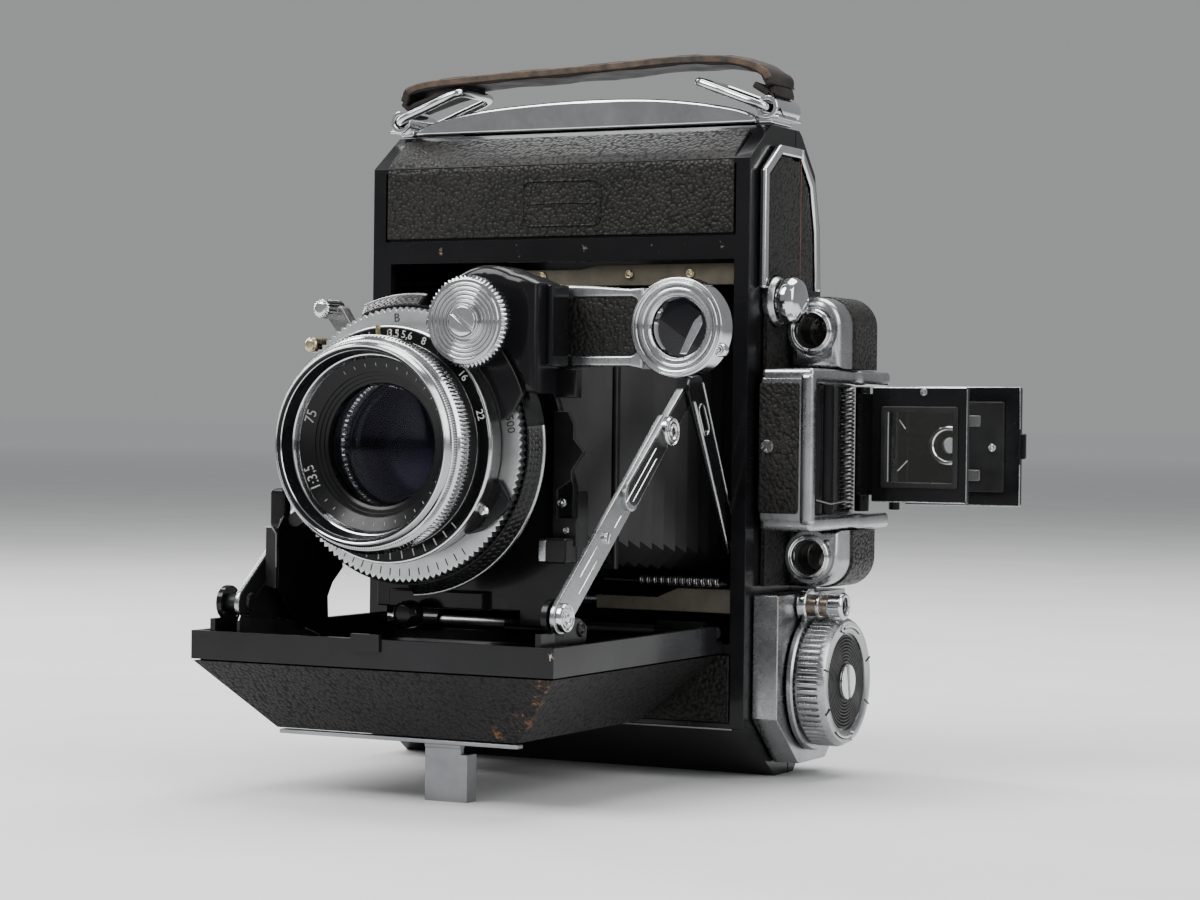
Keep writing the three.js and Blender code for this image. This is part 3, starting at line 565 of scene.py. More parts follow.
def smooth_path(points, parts=6, closed=False):
    """Catmull-Rom points through the given ones."""
    out = []
    n = len(points)
    last = n if closed else n - 1
    for i in range(last):
        def at(k):
            return points[k % n] if closed else points[max(0, min(n - 1, k))]
        p0, p1, p2, p3 = (Vector(at(i + d)) for d in (-1, 0, 1, 2))
        for j in range(parts):
            t = j / parts
            out.append(
                0.5 * ((2 * p1) + (p2 - p0) * t + (2 * p0 - 5 * p1 + 4 * p2 - p3) * t * t
                       + (3 * p1 - p0 - 3 * p2 + p3) * t ** 3)
            )
    if not closed:
        out.append(Vector(points[-1]))
    return out


def wire(points, radius, closed=False, sides=3):
    curve = bpy.data.curves.new("wire", "CURVE")
    curve.dimensions = "3D"
    curve.bevel_depth = radius * MM
    curve.bevel_resolution = sides
    curve.use_fill_caps = True
    line = curve.splines.new("POLY")
    line.points.add(len(points) - 1)
    for i, p in enumerate(points):
        line.points[i].co = (*P(*p), 1)
    line.use_cyclic_u = closed
    return curve_mesh(curve)


def coil(axis, centre, radius, start, end, turns, thickness):
    steps = int(turns * 14)
    points = []
    for i in range(steps + 1):
        a = 2 * math.pi * turns * i / steps
        t = start + (end - start) * i / steps
        u, v = centre[0] + radius * math.cos(a), centre[1] + radius * math.sin(a)
        points.append((t, u, v) if axis == "x" else (u, t, v) if axis == "y" else (u, v, t))
    return wire(points, thickness, sides=1)


def letters(text, size, origin, right, up, depth=0.04):
    """Raised characters, centred on origin, with right and up as their directions."""
    curve = bpy.data.curves.new("letters", "FONT")
    curve.body = text
    curve.size = size * MM
    curve.align_x = "CENTER"
    curve.align_y = "CENTER"
    curve.extrude = depth * MM
    curve.resolution_u = 3
    mesh = curve_mesh(curve)
    right, up = Vector(right).normalized(), Vector(up).normalized()
    out = right.cross(up)
    turn = Matrix((right, up, out)).transposed().to_4x4()
    mesh.transform(Matrix.Translation(P(*origin)) @ turn)
    return mesh


def from_cad(node, bevel=0.3, parts=3, angle=28, big=None):
    """A CAD node's shape with its sharp edges rounded. big = (radius, test) rounds some edges more."""
    bm = bmesh.new()
    bm.from_mesh(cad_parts[node].data)
    bmesh.ops.remove_doubles(bm, verts=bm.verts, dist=2e-6)
    bmesh.ops.dissolve_limit(bm, angle_limit=math.radians(1.0), verts=bm.verts, edges=bm.edges)

    def sharp(e):
        return len(e.link_faces) == 2 and e.calc_face_angle(0) > math.radians(angle)

    def bevel_edges(edges, size, segments):
        bmesh.ops.bevel(bm, geom=edges, offset=size * MM, segments=segments, profile=0.5, affect="EDGES",
            clamp_overlap=True)

    if big:
        bevel_edges([e for e in bm.edges if sharp(e) and big[1](e)], big[0], 4)
    if bevel > 0:
        bevel_edges([e for e in bm.edges if sharp(e)], bevel, parts)
    return finished(bm, node, 1e-6)


def put(name, look, body, *meshes, stands=(), slot=None, sharp=33, weighted=True):
    """Joins the meshes into one piece, gives it its material and its body."""
    bm = bmesh.new()
    for m in meshes:
        bm.from_mesh(m)
        bpy.data.meshes.remove(m)
    mesh = bpy.data.meshes.new(name)
    bm.to_mesh(mesh)
    bm.free()
    mesh.materials.append(M[look])
    mesh.polygons.foreach_set("use_smooth", [True] * len(mesh.polygons))
    mesh.polygons.foreach_set("material_index", [0] * len(mesh.polygons))
    mesh.set_sharp_from_angle(angle=math.radians(sharp))
    obj = bpy.data.objects.new(name, mesh)
    bpy.context.scene.collection.objects.link(obj)
    if weighted:
        obj.modifiers.new("even", "WEIGHTED_NORMAL").keep_sharp = True
    if body:
        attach(obj, body)
    if stands:
        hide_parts(*([stands] if isinstance(stands, str) else stands))
    slot = slot or SLOT_OF[look]
    return obj


def put_cad(name, look, body, node, bevel, parts=3, angle=28, slot=None):
    """Shows a CAD node's shape with rounded edges in place of the node."""
    put(name, look, body, from_cad(node, bevel, parts, angle), stands=node, slot=slot)


def dress(node, look):
    """Shows a CAD node as it is, with a material."""
    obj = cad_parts[node]
    obj.data.materials.clear()
    obj.data.materials.append(M[look])


def screw(axis, centre, radius, base, top, slot_angle, cross=False, slot_width=0.22):
    """A slotted round head whose face is at top; base is where it sits."""
    sign = 1 if top > base else -1
    depth = min(0.35, abs(top - base) * 0.5)
    floor = top - sign * depth
    pieces = [lathe(axis, centre, [(0, base), (radius, base), (radius, floor), (0, floor)], 40, soft=0.05)]
    plane = {"x": "yz", "y": "xz", "z": "xy"}[axis]
    lo, hi = sorted((floor - sign * 0.02, top))
    gap = math.degrees(math.asin(min(0.9, slot_width)))
    quarters = (0, 90, 180, 270) if cross else (0, 180)
    width = 90 if cross else 180
    for q in quarters:
        a0 = slot_angle + q + gap
        a1 = slot_angle + q + width - gap
        mid = math.radians((a0 + a1) / 2)
        arc = circle(centre[0], centre[1], radius, 24, a0, a1)
        if cross:
            reach = radius * math.sin(math.radians(gap)) * 1.414
            arc.append((centre[0] + reach * math.cos(mid), centre[1] + reach * math.sin(mid)))
        pieces.append(plate(plane, arc, lo, hi, min(0.12, depth * 0.4)))
    return pieces


def rivet(axis, centre, radius, base, top, grooves=2):
    """A turned rivet head with stepped rings."""
    sign = 1 if top > base else -1
    height = abs(top - base)
    profile = [(0, base), (radius, base), (radius, base + sign * height * 0.55)]
    for g in range(grooves):
        r0 = radius * (0.86 - 0.62 * g / max(1, grooves))
        profile += [(r0, base + sign * height * 0.8), (r0 - 0.12, base + sign * height * 0.8),
            (r0 - 0.2, base + sign * height * 0.6), (r0 - 0.3, base + sign * height * 0.6)]
    profile += [(radius * 0.22, top), (0, top)]
    return lathe(axis, centre, profile, 40, soft=0.06)


add_camera()
add_stage()


# ---------------------------------------------------------------- body
side_outline = [
    (0, 9.4), (14, 0), (22, 0), (28.8, 6.6), (31.6, 14), (32, 22), (32, 87), (31.3, 98), (28.8, 107.6),
    (22.6, 114.2), (21.4, 115), (9, 115), (0, 108.5),
]


def clip(points, nu, nv, limit):
    """Keeps the part of a convex outline where nu*u + nv*v <= limit."""
    out = []
    for i, p in enumerate(points):
        q = points[(i + 1) % len(points)]
        dp, dq = nu * p[0] + nv * p[1] - limit, nu * q[0] + nv * q[1] - limit
        if dp <= 0:
            out.append(p)
        if dp * dq < 0:
            t = dp / (dp - dq)
            out.append((p[0] + (q[0] - p[0]) * t, p[1] + (q[1] - p[1]) * t))
    return out


def inset(points, d):
    out = rect(-10, 60, -10, 140)
    for i, p in enumerate(points):
        q = points[(i + 1) % len(points)]
        du, dv = q[0] - p[0], q[1] - p[1]
        span = math.hypot(du, dv)
        nu, nv = dv / span, -du / span
        out = clip(out, nu, nv, nu * p[0] + nv * p[1] - d)
    return out


def outer_edge(e):
    a, b = e.verts[0].co, e.verts[1].co
    seam = (19.3 - BODY_MID) * MM
    return abs(a.x) > 0.03799 and abs(b.x) > 0.03799 and (a.y < seam or b.y < seam)


put("shell", "lacquer", BODY, from_cad("body_shell", 0.3, 3, big=(1.3, outer_edge)), stands="body_shell")


def bent_sheet(half, line, thick):
    """A sheet of that half width following a line of (y, z) points, thickened outwards."""
    bm = bmesh.new()
    rows = []
    n = len(line)
    for i, (y, z) in enumerate(line):
        a, b = line[max(0, i - 1)], line[min(n - 1, i + 1)]
        ty, tz = b[0] - a[0], b[1] - a[1]
        span = math.hypot(ty, tz)
        ny, nz = -tz / span, ty / span
        rows.append([bm.verts.new(P(x, y + s * ny, z + s * nz)) for s in (0, thick) for x in (-half, half)])
    for i in range(n - 1):
        a, b = rows[i], rows[i + 1]
        bm.faces.new((a[0], a[1], b[1], b[0]))
        bm.faces.new((a[2], b[2], b[3], a[3]))
        bm.faces.new((a[0], b[0], b[2], a[2]))
        bm.faces.new((a[1], a[3], b[3], b[1]))
    bm.faces.new((rows[0][0], rows[0][2], rows[0][3], rows[0][1]))
    bm.faces.new((rows[-1][0], rows[-1][1], rows[-1][3], rows[-1][2]))
    round_edges(bm, 60, 0.22, 2)
    return finished(bm, "sheet")


front_line = [(0.35, 95.5), (0.35, 106.6)]
for i in range(7):
    t = i / 6
    front_line.append((0.35 + 1.5 * t * t, 107.2 + 2.6 * t))
front_line += [(4.2, 111.6), (7.2, 113.75)]
put("upper_panel", "leather", BODY, bent_sheet(35.0, front_line, 0.55), stands="upper_leather")
put_cad("lower_panel", "leather", BODY, "lower_leather", 0.2, 2)
put("panel_emboss", "leather", BODY,
    wire([(x, -0.22, z) for x, z in rounded(-6.6, 9.0, 97.4, 105.4, 1.6)], 0.22, True),
    wire([(-5.9, -0.2, 101.3), (1.2, -0.2, 101.5), (8.3, -0.2, 101.3)], 0.18))
put("front_lip", "chrome", BODY, wire([(-35.8, 0.25, 9.35), (0, 0.25, 9.3), (35.8, 0.25, 9.35)], 0.28))
put("body_foot", "black_metal", BODY, plate("xy", rounded(35.0, 37.6, 13.4, 17.4, 0.8), 0.02, 1.4, 0.3))

arch = [(-34.9, 115.35), (-34.7, 116.3), (-31, 117.9), (-22, 119.6), (-10, 120.5), (3, 120.85), (15, 120.45),
    (25, 119.3), (31.6, 118.0), (34.7, 116.7), (34.9, 115.35)]
arch_top = [(p.x, p.y) for p in smooth_path([(x, z, 0) for x, z in arch[1:-1]], 5)]
put("arch_plate", "chrome", BODY, plate("xz", [arch[0], *arch_top, arch[-1]], 9.3, 18.3, 0.55),
    stands="top_plate")

put_cad("side_panel", "leather", BODY, "side_leather", 0.2, 2)
put_cad("side_bead", "bright", BODY, "side_trim", 0.5, 4)
put_cad("left_panel", "leather", BODY, "left_side_leather", 0.2, 2)
put_cad("bush", "satin", BODY, "tripod_bush", 0.2, 2)
put("bush_thread", "steel", BODY, coil("x", (10, 58.3), 2.35, -39.3, -35.2, 7, 0.18))

# Rear halves of the side panel and bead are on the back door.
rear_top = clip(clip(inset(side_outline, 5.8), -1, 0, -20.0), 0, -1, -34.2)
put("door_side_panel", "leather", "back_door", plate("yz", rear_top, 38.2, 39.0, 0.2))
BEAD_OUTER, BEAD_INNER = inset(side_outline, 3.4), inset(side_outline, 5.2)
BEAD_FRONT, BEAD_FOOT = 20.0, 86.5


def rear_corners(outline):
    """The corners of an outline that belong to the bead's rear half, in order of turning."""
    corners = [p for p in outline if p[0] > BEAD_FRONT + 0.2 and p[1] > BEAD_FOOT]
    return sorted(corners, key=lambda p: math.atan2(p[1] - 95, p[0] - 10))


def edge_point(points, u=None, v=None):
    """Where an outline crosses u or v, on its rear upper side."""
    best = None
    for i, p in enumerate(points):
        q = points[(i + 1) % len(points)]
        k = 0 if u is not None else 1
        goal = u if u is not None else v
        if (p[k] - goal) * (q[k] - goal) < 0:
            t = (goal - p[k]) / (q[k] - p[k])
            hit = (p[0] + (q[0] - p[0]) * t, p[1] + (q[1] - p[1]) * t)
            if best is None or hit[0] + hit[1] > best[0] + best[1]:
                best = hit
    return best


band = [edge_point(BEAD_OUTER, v=BEAD_FOOT), *rear_corners(BEAD_OUTER), edge_point(BEAD_OUTER, u=BEAD_FRONT),
    edge_point(BEAD_INNER, u=BEAD_FRONT), *reversed(rear_corners(BEAD_INNER)),
    edge_point(BEAD_INNER, v=BEAD_FOOT)]
put("door_side_bead", "bright", "back_door", plate("yz", band, 38.2, 39.5, 0.45))
put("seam_crack", "crack", "back_door", plate("yz", rect(19.9, 20.25, 88, 109), 38.5, 39.06, 0.08))

# ---------------------------------------------------------------- back
put_cad("door", "gloss", "back_door", "back_door", 0.3, 3)
put_cad("door_leather", "leather", "back_door", "back_leather", 0.2, 2)
put_cad("latch", "satin", "back_latch", "back_latch", 0.2, 2)
put_cad("cover", "satin", "window_cover", "window_cover", 0.25, 3)
put("red_window", "red_glass", "back_door",
    lathe("y", (-9, 58.3), [(0, 30.7), (3.0, 30.7), (3.0, 31.6), (0, 31.6)], 40))
put_cad("pressure", "black_metal", "pressure_plate", "pressure_plate", 0.2, 2, slot="dark_metal")
put_cad("gate", "matt", BODY, "film_gate", 0.2, 2)
put_cad("spool", "black_metal", "takeup_spool", "takeup_spool", 0.2, 2, slot="dark_metal")
for node in ("lower_roller", "upper_roller"):
    put(node + "_look", "satin", node,
        lathe("x", (24.6, 29.4 if node[0] == "l" else 88.8),
            [(0, -35.6), (0.9, -35.6), (0.9, -34.4), (1.6, -34.1), (1.6, 34.1), (0.9, 34.4), (0.9, 35.6),
                (0, 35.6)],
            32),
        stands=node)

# ---------------------------------------------------------------- strap, rings and lugs
for side, tag in ((-1, "left"), (1, "right")):
    cx, cz = side * 37.4, 118.0
    roll = lathe("y", (cx, cz), [(1.2, 8), (2.1, 8), (2.1, 18.6), (1.2, 18.6)], 40, soft=0.3)
    tab = plate("xz", rounded(*sorted((side * 35.3, side * 37.9)), 115.3, 116.7, 0.4), 9.3, 18.3, 0.3)
    seam_ends = sorted((cx - 0.25 * side, cx + 2.25 * side))
    seam = plate("xz", rounded(*seam_ends, 116.0, 116.5, 0.2), 8.2, 18.4, 0.15)
    put("lug_" + tag, "bright", BODY, roll, tab, seam, stands="strap_lug_" + tag, slot="chrome")
    inner = (side * 24.2, 123.0)
    loop = []
    ends = [(cx, 6.9, cz), (inner[0], 6.9, inner[1]), (inner[0], 19.7, inner[1]), (cx, 19.7, cz)]
    for i, p in enumerate(ends):
        q = ends[(i + 1) % 4]
        for t in (0.12, 0.5, 0.88):
            loop.append(tuple(p[k] + (q[k] - p[k]) * t for k in range(3)))
    loop = [tuple(v) for v in smooth_path(loop, 5, True)]
    put("ring_" + tag, "chrome", "strap_ring_" + tag, wire(loop, 0.8, True, 4), stands="strap_ring_" + tag)

strap_line = [(-37.4, 121.9), (-34, 124.6), (-18, 125.7), (0, 126.3), (20, 127.2), (31, 126.6), (36.6, 124.4),
    (37.8, 121.9)]
strap_path = [(p.x, p.y) for p in smooth_path([(x, z, 0) for x, z in strap_line], 8)]


def ribbon(line, y0, y1, thick, bump=0.0, seed=3):
    """A leather band along a line of (x, z) points, slightly uneven."""
    rnd = random.Random(seed)
    n = len(line)
    columns = 8
    bm = bmesh.new()
    rows = []
    for i, (x, z) in enumerate(line):
        a, b = line[max(0, i - 1)], line[min(n - 1, i + 1)]
        tx, tz = b[0] - a[0], b[1] - a[1]
        span = math.hypot(tx, tz)
        nx, nz = -tz / span, tx / span
        ring = []
        wave = bump * math.sin(i * 0.9) + bump * 0.5 * rnd.uniform(-1, 1)
        for s in (-0.5, 0.5):
            order = range(columns + 1) if s < 0 else range(columns, -1, -1)
            for c in order:
                y = y0 + (y1 - y0) * c / columns
                crown = 0.25 * math.sin(math.pi * c / columns)
                off = s * thick + (crown if s > 0 else crown * 0.6) - 0.2 + wave * (c / columns - 0.5)
                ring.append(bm.verts.new(P(x + nx * off, y, z + nz * off)))
        rows.append(ring)
    join_rows(bm, rows, True)
    bm.faces.new(rows[0])
    bm.faces.new(rows[-1])
    round_edges(bm, 55, 0.3, 3)
    return finished(bm, "ribbon")


put("strap", "strap", "carrying_strap", ribbon(strap_path, 8.5, 18.3, 1.7, 0.25), stands="carrying_strap")
edge_line = strap_path[5:-4]
put("strap_cut_edge", "strap_edge", "carrying_strap", ribbon(edge_line, 8.34, 8.9, 1.15, 0.05))
put("strap_curl", "strap", "carrying_strap",
    ribbon([(37.9, 121.9), (38.3, 120.6), (37.2, 120.3), (35.6, 121.3), (34.2, 122.2)], 9.2, 17.6, 1.2, 0.1),
    ribbon([(-37.6, 121.9), (-36.6, 120.9), (-34.6, 121.6), (-30, 123.0), (-24.5, 124.2)], 9.2, 17.6, 1.1, 0.1))

# ---------------------------------------------------------------- drop bed
put("hinge_rod", "steel", "bed_hinge",
    lathe("x", (-1, 26), [(0, -33.6), (0.9, -33.6), (0.9, 33.6), (0, 33.6)], 24), stands="bed_hinge_rod")
put_cad("bed_pan", "bed_lacquer", "bed", "bed", 0.35, 3)
put_cad("bed_skin", "bed_leather", "bed", "bed_leather", 0)
put_cad("bed_line", "foot", "bed", "bed_trim", 0.2, 3)
put_cad("foot_plate", "foot", "bed_foot", "bed_foot", 0.25, 3)
put("bed_rivets", "black_metal", "bed", rivet("x", (-48, 29.2), 1.2, 30.6, 31.6, 1),
    plate("yz", [(-57, 27), (-46.0, 27), (-45.6, 29.6), (-48, 31), (-52, 31.6), (-57, 33.2)], 30.2, 31.0, 0.2))
ear_top = [(-61.2, 28.9), (-60.7, 29.7), (-56, 29.4), (-48.8, 28.7), (-46, 28.1), (-42.7, 27.0), (-38, 25.6),
    (-33, 23.6), (-30.5, 20.5)]
put("bed_ear", "black_metal", "bed",
    plate("yz", [(-30.5, 15), (-46, 15), (-52, 18.5), (-61.2, 26), *ear_top], -25.9, -25.3, 0.15))
put("bed_ear_edge", "satin", "bed", wire([(-25.5, y, z + 0.02) for y, z in ear_top], 0.16))

# ---------------------------------------------------------------- struts and links
STRUT_FOOT, STRUT_TOP, STRUT_RIVET = (-56.9, 31.6), (-20.6, 61.18), (-20.9, 60.9)
LEFT_SHIFT = 4.7
for side, tag in ((1, "right"), (-1, "left")):
    def out(x):
        """The strut on the left stands further in, clear of the bed's wide left wall."""
        return x if side > 0 else LEFT_SHIFT - x

    def across(a, b):
        return (a, b) if side > 0 else (-b, -a)

    def strut_plate(line, a, b, bevel=0.2):
        return plate("yz", line, *sorted((out(a), out(b))), bevel)

    put("strut_" + tag + "_bar", "satin", "strut_" + tag,
        strut_plate(slot_shape(STRUT_FOOT, STRUT_TOP, 2.7, 2.7), 31.4, 32.3),
        strut_plate(slot_shape((-34.0, 50.3), (-14.3, 66.3), 2.6, 2.0), 31.6, 33.0), stands="strut_" + tag)
    dark = [strut_plate(slot_shape((-33.4, 50.8), (-14.4, 66.2), 2.1, 1.5), 32.9, 33.06, 0.05)]
    # On the left strut, a black sheet over the lower bar's inner face is painted reflection: it stands in for
    # the dark that face reflects.
    if side < 0:
        dark.append(strut_plate(slot_shape(STRUT_FOOT, STRUT_TOP, 2.5, 2.5), 31.32, 31.5, 0.05))
    put("strut_" + tag + "_dark", "black_metal", "strut_" + tag, *dark, slot="satin")
    du, dv = STRUT_TOP[0] - STRUT_FOOT[0], STRUT_TOP[1] - STRUT_FOOT[1]
    long = math.hypot(du, dv)
    du, dv = du / long, dv / long
    marks = []
    face, low_face = out(33.04), out(32.3)
    for t0, t1, off, face_x in ((27, 41, 0.7, face), (29, 40, -0.75, face), (8.5, 16, 0.9, low_face),
                                (6.5, 14.5, -0.9, low_face), (22.5, 25.5, -0.8, low_face)):
        ends = [(STRUT_FOOT[0] + du * t - dv * off, STRUT_FOOT[1] + dv * t + du * off) for t in (t0, t1)]
        marks.append(wire([(face_x, *p) for p in ends], 0.13, sides=2))
    put("strut_" + tag + "_lines", "bright", "strut_" + tag, *marks)

    def turned_rivet(centre, r, base, top):
        """A rivet head turned with two fine grooves."""
        a, b, c = out(base), out(top), out(top - 0.35)
        return lathe("x", centre,
            [(0, b), (r * 0.3, b), (r * 0.36, c), (r * 0.46, c), (r * 0.52, b), (r * 0.66, b), (r * 0.7, c),
                (r * 0.8, c), (r * 0.86, b), (r * 0.95, b), (r, c), (r, a), (0, a)],
            72, soft=0.04)

    heads = [turned_rivet(STRUT_RIVET, 2.6, 32.8, 34.0)]
    if side > 0:
        heads.append(turned_rivet(STRUT_FOOT, 2.3, 32.1, 33.4))
    put("strut_" + tag + "_rivets", "bright", "strut_" + tag, *heads)
    put("strut_" + tag + "_screw", "bright", "strut_" + tag,
        *screw("x", (-42.2, 43.6), 0.95, out(32.1), out(32.9), 62, slot_width=0.16))
    if side < 0:
        put("strut_left_ends", "black_metal", "strut_left",
            lathe("x", (-56.2, 31.8), [(0, -25.95), (1.3, -25.95), (1.6, -26.2), (1.6, -26.8), (0, -26.8)], 40),
            lathe("x", STRUT_FOOT, [(0, -27.4), (1.5, -27.4), (1.5, -31), (0, -31)], 32),
            lathe("x", STRUT_RIVET, [(0, -28.5), (1.2, -28.5), (1.2, -33.2), (0, -33.2)], 32),
            plate("yz", [(-57.5, 30.2), (-53, 27.6), (-41, 26.9), (-38.6, 33), (-43.5, 41), (-54, 33.4)], -26.7,
                -26.3, 0.1))
    hole = slot_shape((-8.2, 61.4), (-10, 64.5), 0.9, 0.9, 8)
    blade = plate("yz", slot_shape((3.5, 41), (-12, 68), 1.9, 3), *across(33.3, 34.0), 0.18, holes=[hole])
    rim = wire([(side * 34.05, u, v) for u, v in slot_shape((-8.2, 61.4), (-10, 64.5), 1.15, 1.15, 8)], 0.16,
        True)
    side_rods = [
        wire([(side * 34.0, -13.0, 66.0), (side * 34.0, 2.0, 39.8)], 0.3),
        wire([(side * 34.0, -9.6, 69.3), (side * 34.0, 5.0, 42.6)], 0.2),
    ]
    put("link_" + tag + "_blade", "gloss", "link_" + tag, blade, stands="link_" + tag)
    put("link_" + tag + "_edges", "satin", "link_" + tag, rim, *side_rods)
    put("link_" + tag + "_pin", "steel", "link_" + tag, rivet("x", (3.5, 41), 1.3, side * 33.9, side * 34.6, 1))


# ---------------------------------------------------------------- bellows
def bellows(y0, half0, low0, high0, y1, half1, low1, high1, folds, depth):
    """A pleated square sleeve, thin walled, from y0 to y1."""
    bm = bmesh.new()
    rows = []
    steps = folds * 2
    for skin in (0.0, -0.5):
        layer = []
        for i in range(steps + 1):
            t = i / steps
            half = half0 + (half1 - half0) * t
            low = low0 + (low1 - low0) * t
            high = high0 + (high1 - high0) * t
            out = (depth if i % 2 else 0.0) * (-1) + skin
            y = y0 + (y1 - y0) * t
            cut = 3.2
            ring = [
                (-half - out + cut, low - out), (half + out - cut, low - out), (half + out, low - out + cut),
                (half + out, high + out - cut), (half + out - cut, high + out), (-half - out + cut, high + out),
                (-half - out, high + out - cut), (-half - out, low - out + cut),
            ]
            layer.append([bm.verts.new(P(x, y, z)) for x, z in ring])
        rows.append(layer)
    for layer in rows:
        join_rows(bm, layer, True)
    for i in (0, steps):
        for k in range(8):
            bm.faces.new((rows[0][i][k], rows[0][i][(k + 1) % 8], rows[1][i][(k + 1) % 8], rows[1][i][k]))
    bmesh.ops.recalc_face_normals(bm, faces=bm.faces)
    return finished(bm, "bellows")


front = put("pleats_front", "cloth", None, bellows(-37.2, 18, 40.3, 76.3, -17.3, 20.6, 38, 78.6, 6, 1.5),
    stands="bellows_front", sharp=20, weighted=False)
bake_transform(front)
rear_part = put("pleats_rear", "cloth", None, bellows(-15.2, 20.6, 38, 78.6, 22, 27.4, 34.8, 82.2, 11, 1.5),
    stands="bellows_rear", sharp=20, weighted=False)
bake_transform(rear_part)
put_cad("pleat_frame", "cloth", "bellows_middle", "bellows_mid", 0.3, 2)

# ---------------------------------------------------------------- lens standard
board_line = [(-24.9, 51.8), (-24.9, 46), (-22.4, 41.2), (-12.3, 40.6), (-12.3, 31), (15, 31), (15, 28.6),
    (22.9, 28.6), (22.9, 33.6), (24.9, 36), (24.9, 51.8), *circle(*LENS, 22.4, 48, 0, 180)]
cheek = [(-51.7, 33.9), (-51.7, 44), (-50, 46), (-36, 46), (-32, 40), (-31.3, 36.7), (-34.6, 34.2),
    (-36.1, 31.9), (-35.8, 26.9), (-44, 26.9), (-48, 29.5)]
put("board", "gloss", "standard", plate("xz", board_line, -39.3, -37.5, 0.25, holes=[circle(*LENS, 13.1, 72)]),
    plate("yz", rounded(-39.2, -34, 38, 51, 0.6), 24.1, 24.9, 0.2),
    plate("yz", rounded(-39.2, -34, 38, 51, 0.6), -24.9, -24.1, 0.2),
    plate("xz", rounded(-9, 9, 31, 34, 0.4), -41.1, -39.2, 0.25), plate("yz", cheek, -24.7, -24.1, 0.2),
    plate("xz", rounded(-27.4, -24.4, 43.7, 50.6, 1.0), -49.6, -47.3, 0.6), stands="lens_standard")
put("board_flange", "black_metal", "standard",
    plate("xz", [(-26.4, 34.4), (-24.2, 33.9), (-24.1, 43.0), (-24.9, 44.2), (-26.3, 44.2)], -52.3, -51.5, 0.2))
put("board_flange_edge", "steel", "standard",
    wire([(-26.3, -52.3, 44.2), (-24.9, -52.35, 44.1), (-24.15, -52.3, 43.1), (-24.15, -52.3, 37.5)], 0.16))
side_cam = [(24.2, 64), (25.3, 62), (25.3, 59.6), (27.2, 57.4), (25.0, 54.4), (25.0, 52.8), (22.4, 51.2),
    (22.4, 46.6), (25.9, 46.6), (25.9, 42), (21.5, 42), (21.5, 64)]
put("board_ears", "black_metal", "standard", plate("xz", side_cam, -40.3, -39.35, 0.18),
    plate("xz", [(-x, z) for x, z in reversed(side_cam)], -40.3, -39.35, 0.18))
put("board_ear_rivets", "satin", "standard", rivet("y", (23.4, 49.1), 0.8, -40.2, -41.0, 1),
    rivet("y", (24.2, 44.6), 0.6, -40.2, -40.8, 1), rivet("y", (-23.4, 49.1), 0.8, -40.2, -41.0, 1))
put("board_block", "black_metal", "standard",
    plate("xz", rounded(20.6, 25.6, 39.3, 43.4, 0.5), -43.2, -39.3, 0.4))
put("board_block_face", "satin", "standard",
    plate("xz", rounded(20.7, 22.0, 39.6, 43.1, 0.3), -43.4, -43.1, 0.1))
put("catch", "gloss", "standard_catch",
    lathe("y", (-3, 30.1),
        [(0, -46.4), (1.5, -46.4), (2.3, -45.8), (2.3, -43.4), (1.2, -43.2), (1.2, -41.6), (0, -41.6)], 40,
        soft=0.25),
    stands="standard_catch")

# ---------------------------------------------------------------- shutter


def case_part(start, end, rim=True):
    """A piece of the case's wall between two angles; with a rim its front slopes back to a wider edge."""
    edge = [(22.9, -51.9), (24.55, -50.0), (24.7, -49.75),
        (24.6, -49.45)] if rim else [(22.9, -51.9), (22.9, -49.0)]
    return lathe("y", LENS,
        [(18.5, -50), (22.6, -50), (22.6, -51.85), *edge, (22.3, -48.6), (22.3, -44.95), (18.5, -44.95)],
        int(abs(end - start) / 1.2), arc=(start, end), soft=0.05)


core = lathe("y", LENS,
    [(11.3, -57.6), (13, -57.6), (13, -50), (19, -50), (19, -44.95), (12.8, -44.95), (12.8, -36.5),
        (11.3, -36.5)],
    96, soft=0.1)
put("case", "gloss", "standard", core, case_part(-126, -88, False), case_part(-88, 8), case_part(8, 84, False),
    case_part(84, 112), case_part(152, 196),
    lathe("y", LENS, [(18.5, -46), (22.3, -46), (22.3, -44.95), (18.5, -44.95)], 96, soft=0.1),
    stands="shutter_case")


def waves(start, end):
    """Wavy ridges up the sloping front of the case."""
    bm = bmesh.new()
    rows = []
    rings = 26
    steps = int(abs(end - start) * 9)
    for i in range(rings + 1):
        s = i / rings
        row = []
        for j in range(steps + 1):
            a = math.radians(start + (end - start) * j / steps)
            ridge = 0.05 + 0.05 * math.sin(132 * a + 1.5 * math.sin(2 * math.pi * s / 0.45))
            r = 22.93 + 1.5 * s + 0.77 * ridge
            row.append(bm.verts.new(axis_point("y", LENS, r, a, -51.88 + 1.8 * s - 0.64 * ridge)))
        rows.append(row)
    join_rows(bm, rows, False)
    return finished(bm, "waves")


put("case_waves", "ridge", "standard", waves(-87, 7), waves(85, 111), waves(153, 195), sharp=70, weighted=False)
case_edge = [(24.45, -50.1), (24.65, -50.1), (24.8, -49.9), (24.8, -49.65), (24.6, -49.55), (24.45, -49.9)]
put("case_rim", "satin", "standard",
    *[lathe("y", LENS, case_edge, steps, arc=arc, soft=0.03) for steps,
        arc in ((200, (-88, 8)), (60, (84, 112)), (80, (152, 196)))])
put("blades", "black_metal", "shutter_blades",
    lathe("y", LENS, [(0, -47.3), (11, -47.3), (11, -46.8), (0, -46.8)], 60), stands="shutter_blades",
    slot="dark_metal")


def teeth(count, depth, from_r):
    def ripple(r, t, a):
        if r < from_r:
            return 0.0, 0.0
        saw = (a * count / (2 * math.pi)) % 1.0
        return (-depth * abs(2 * saw - 1)), 0.0
    return ripple


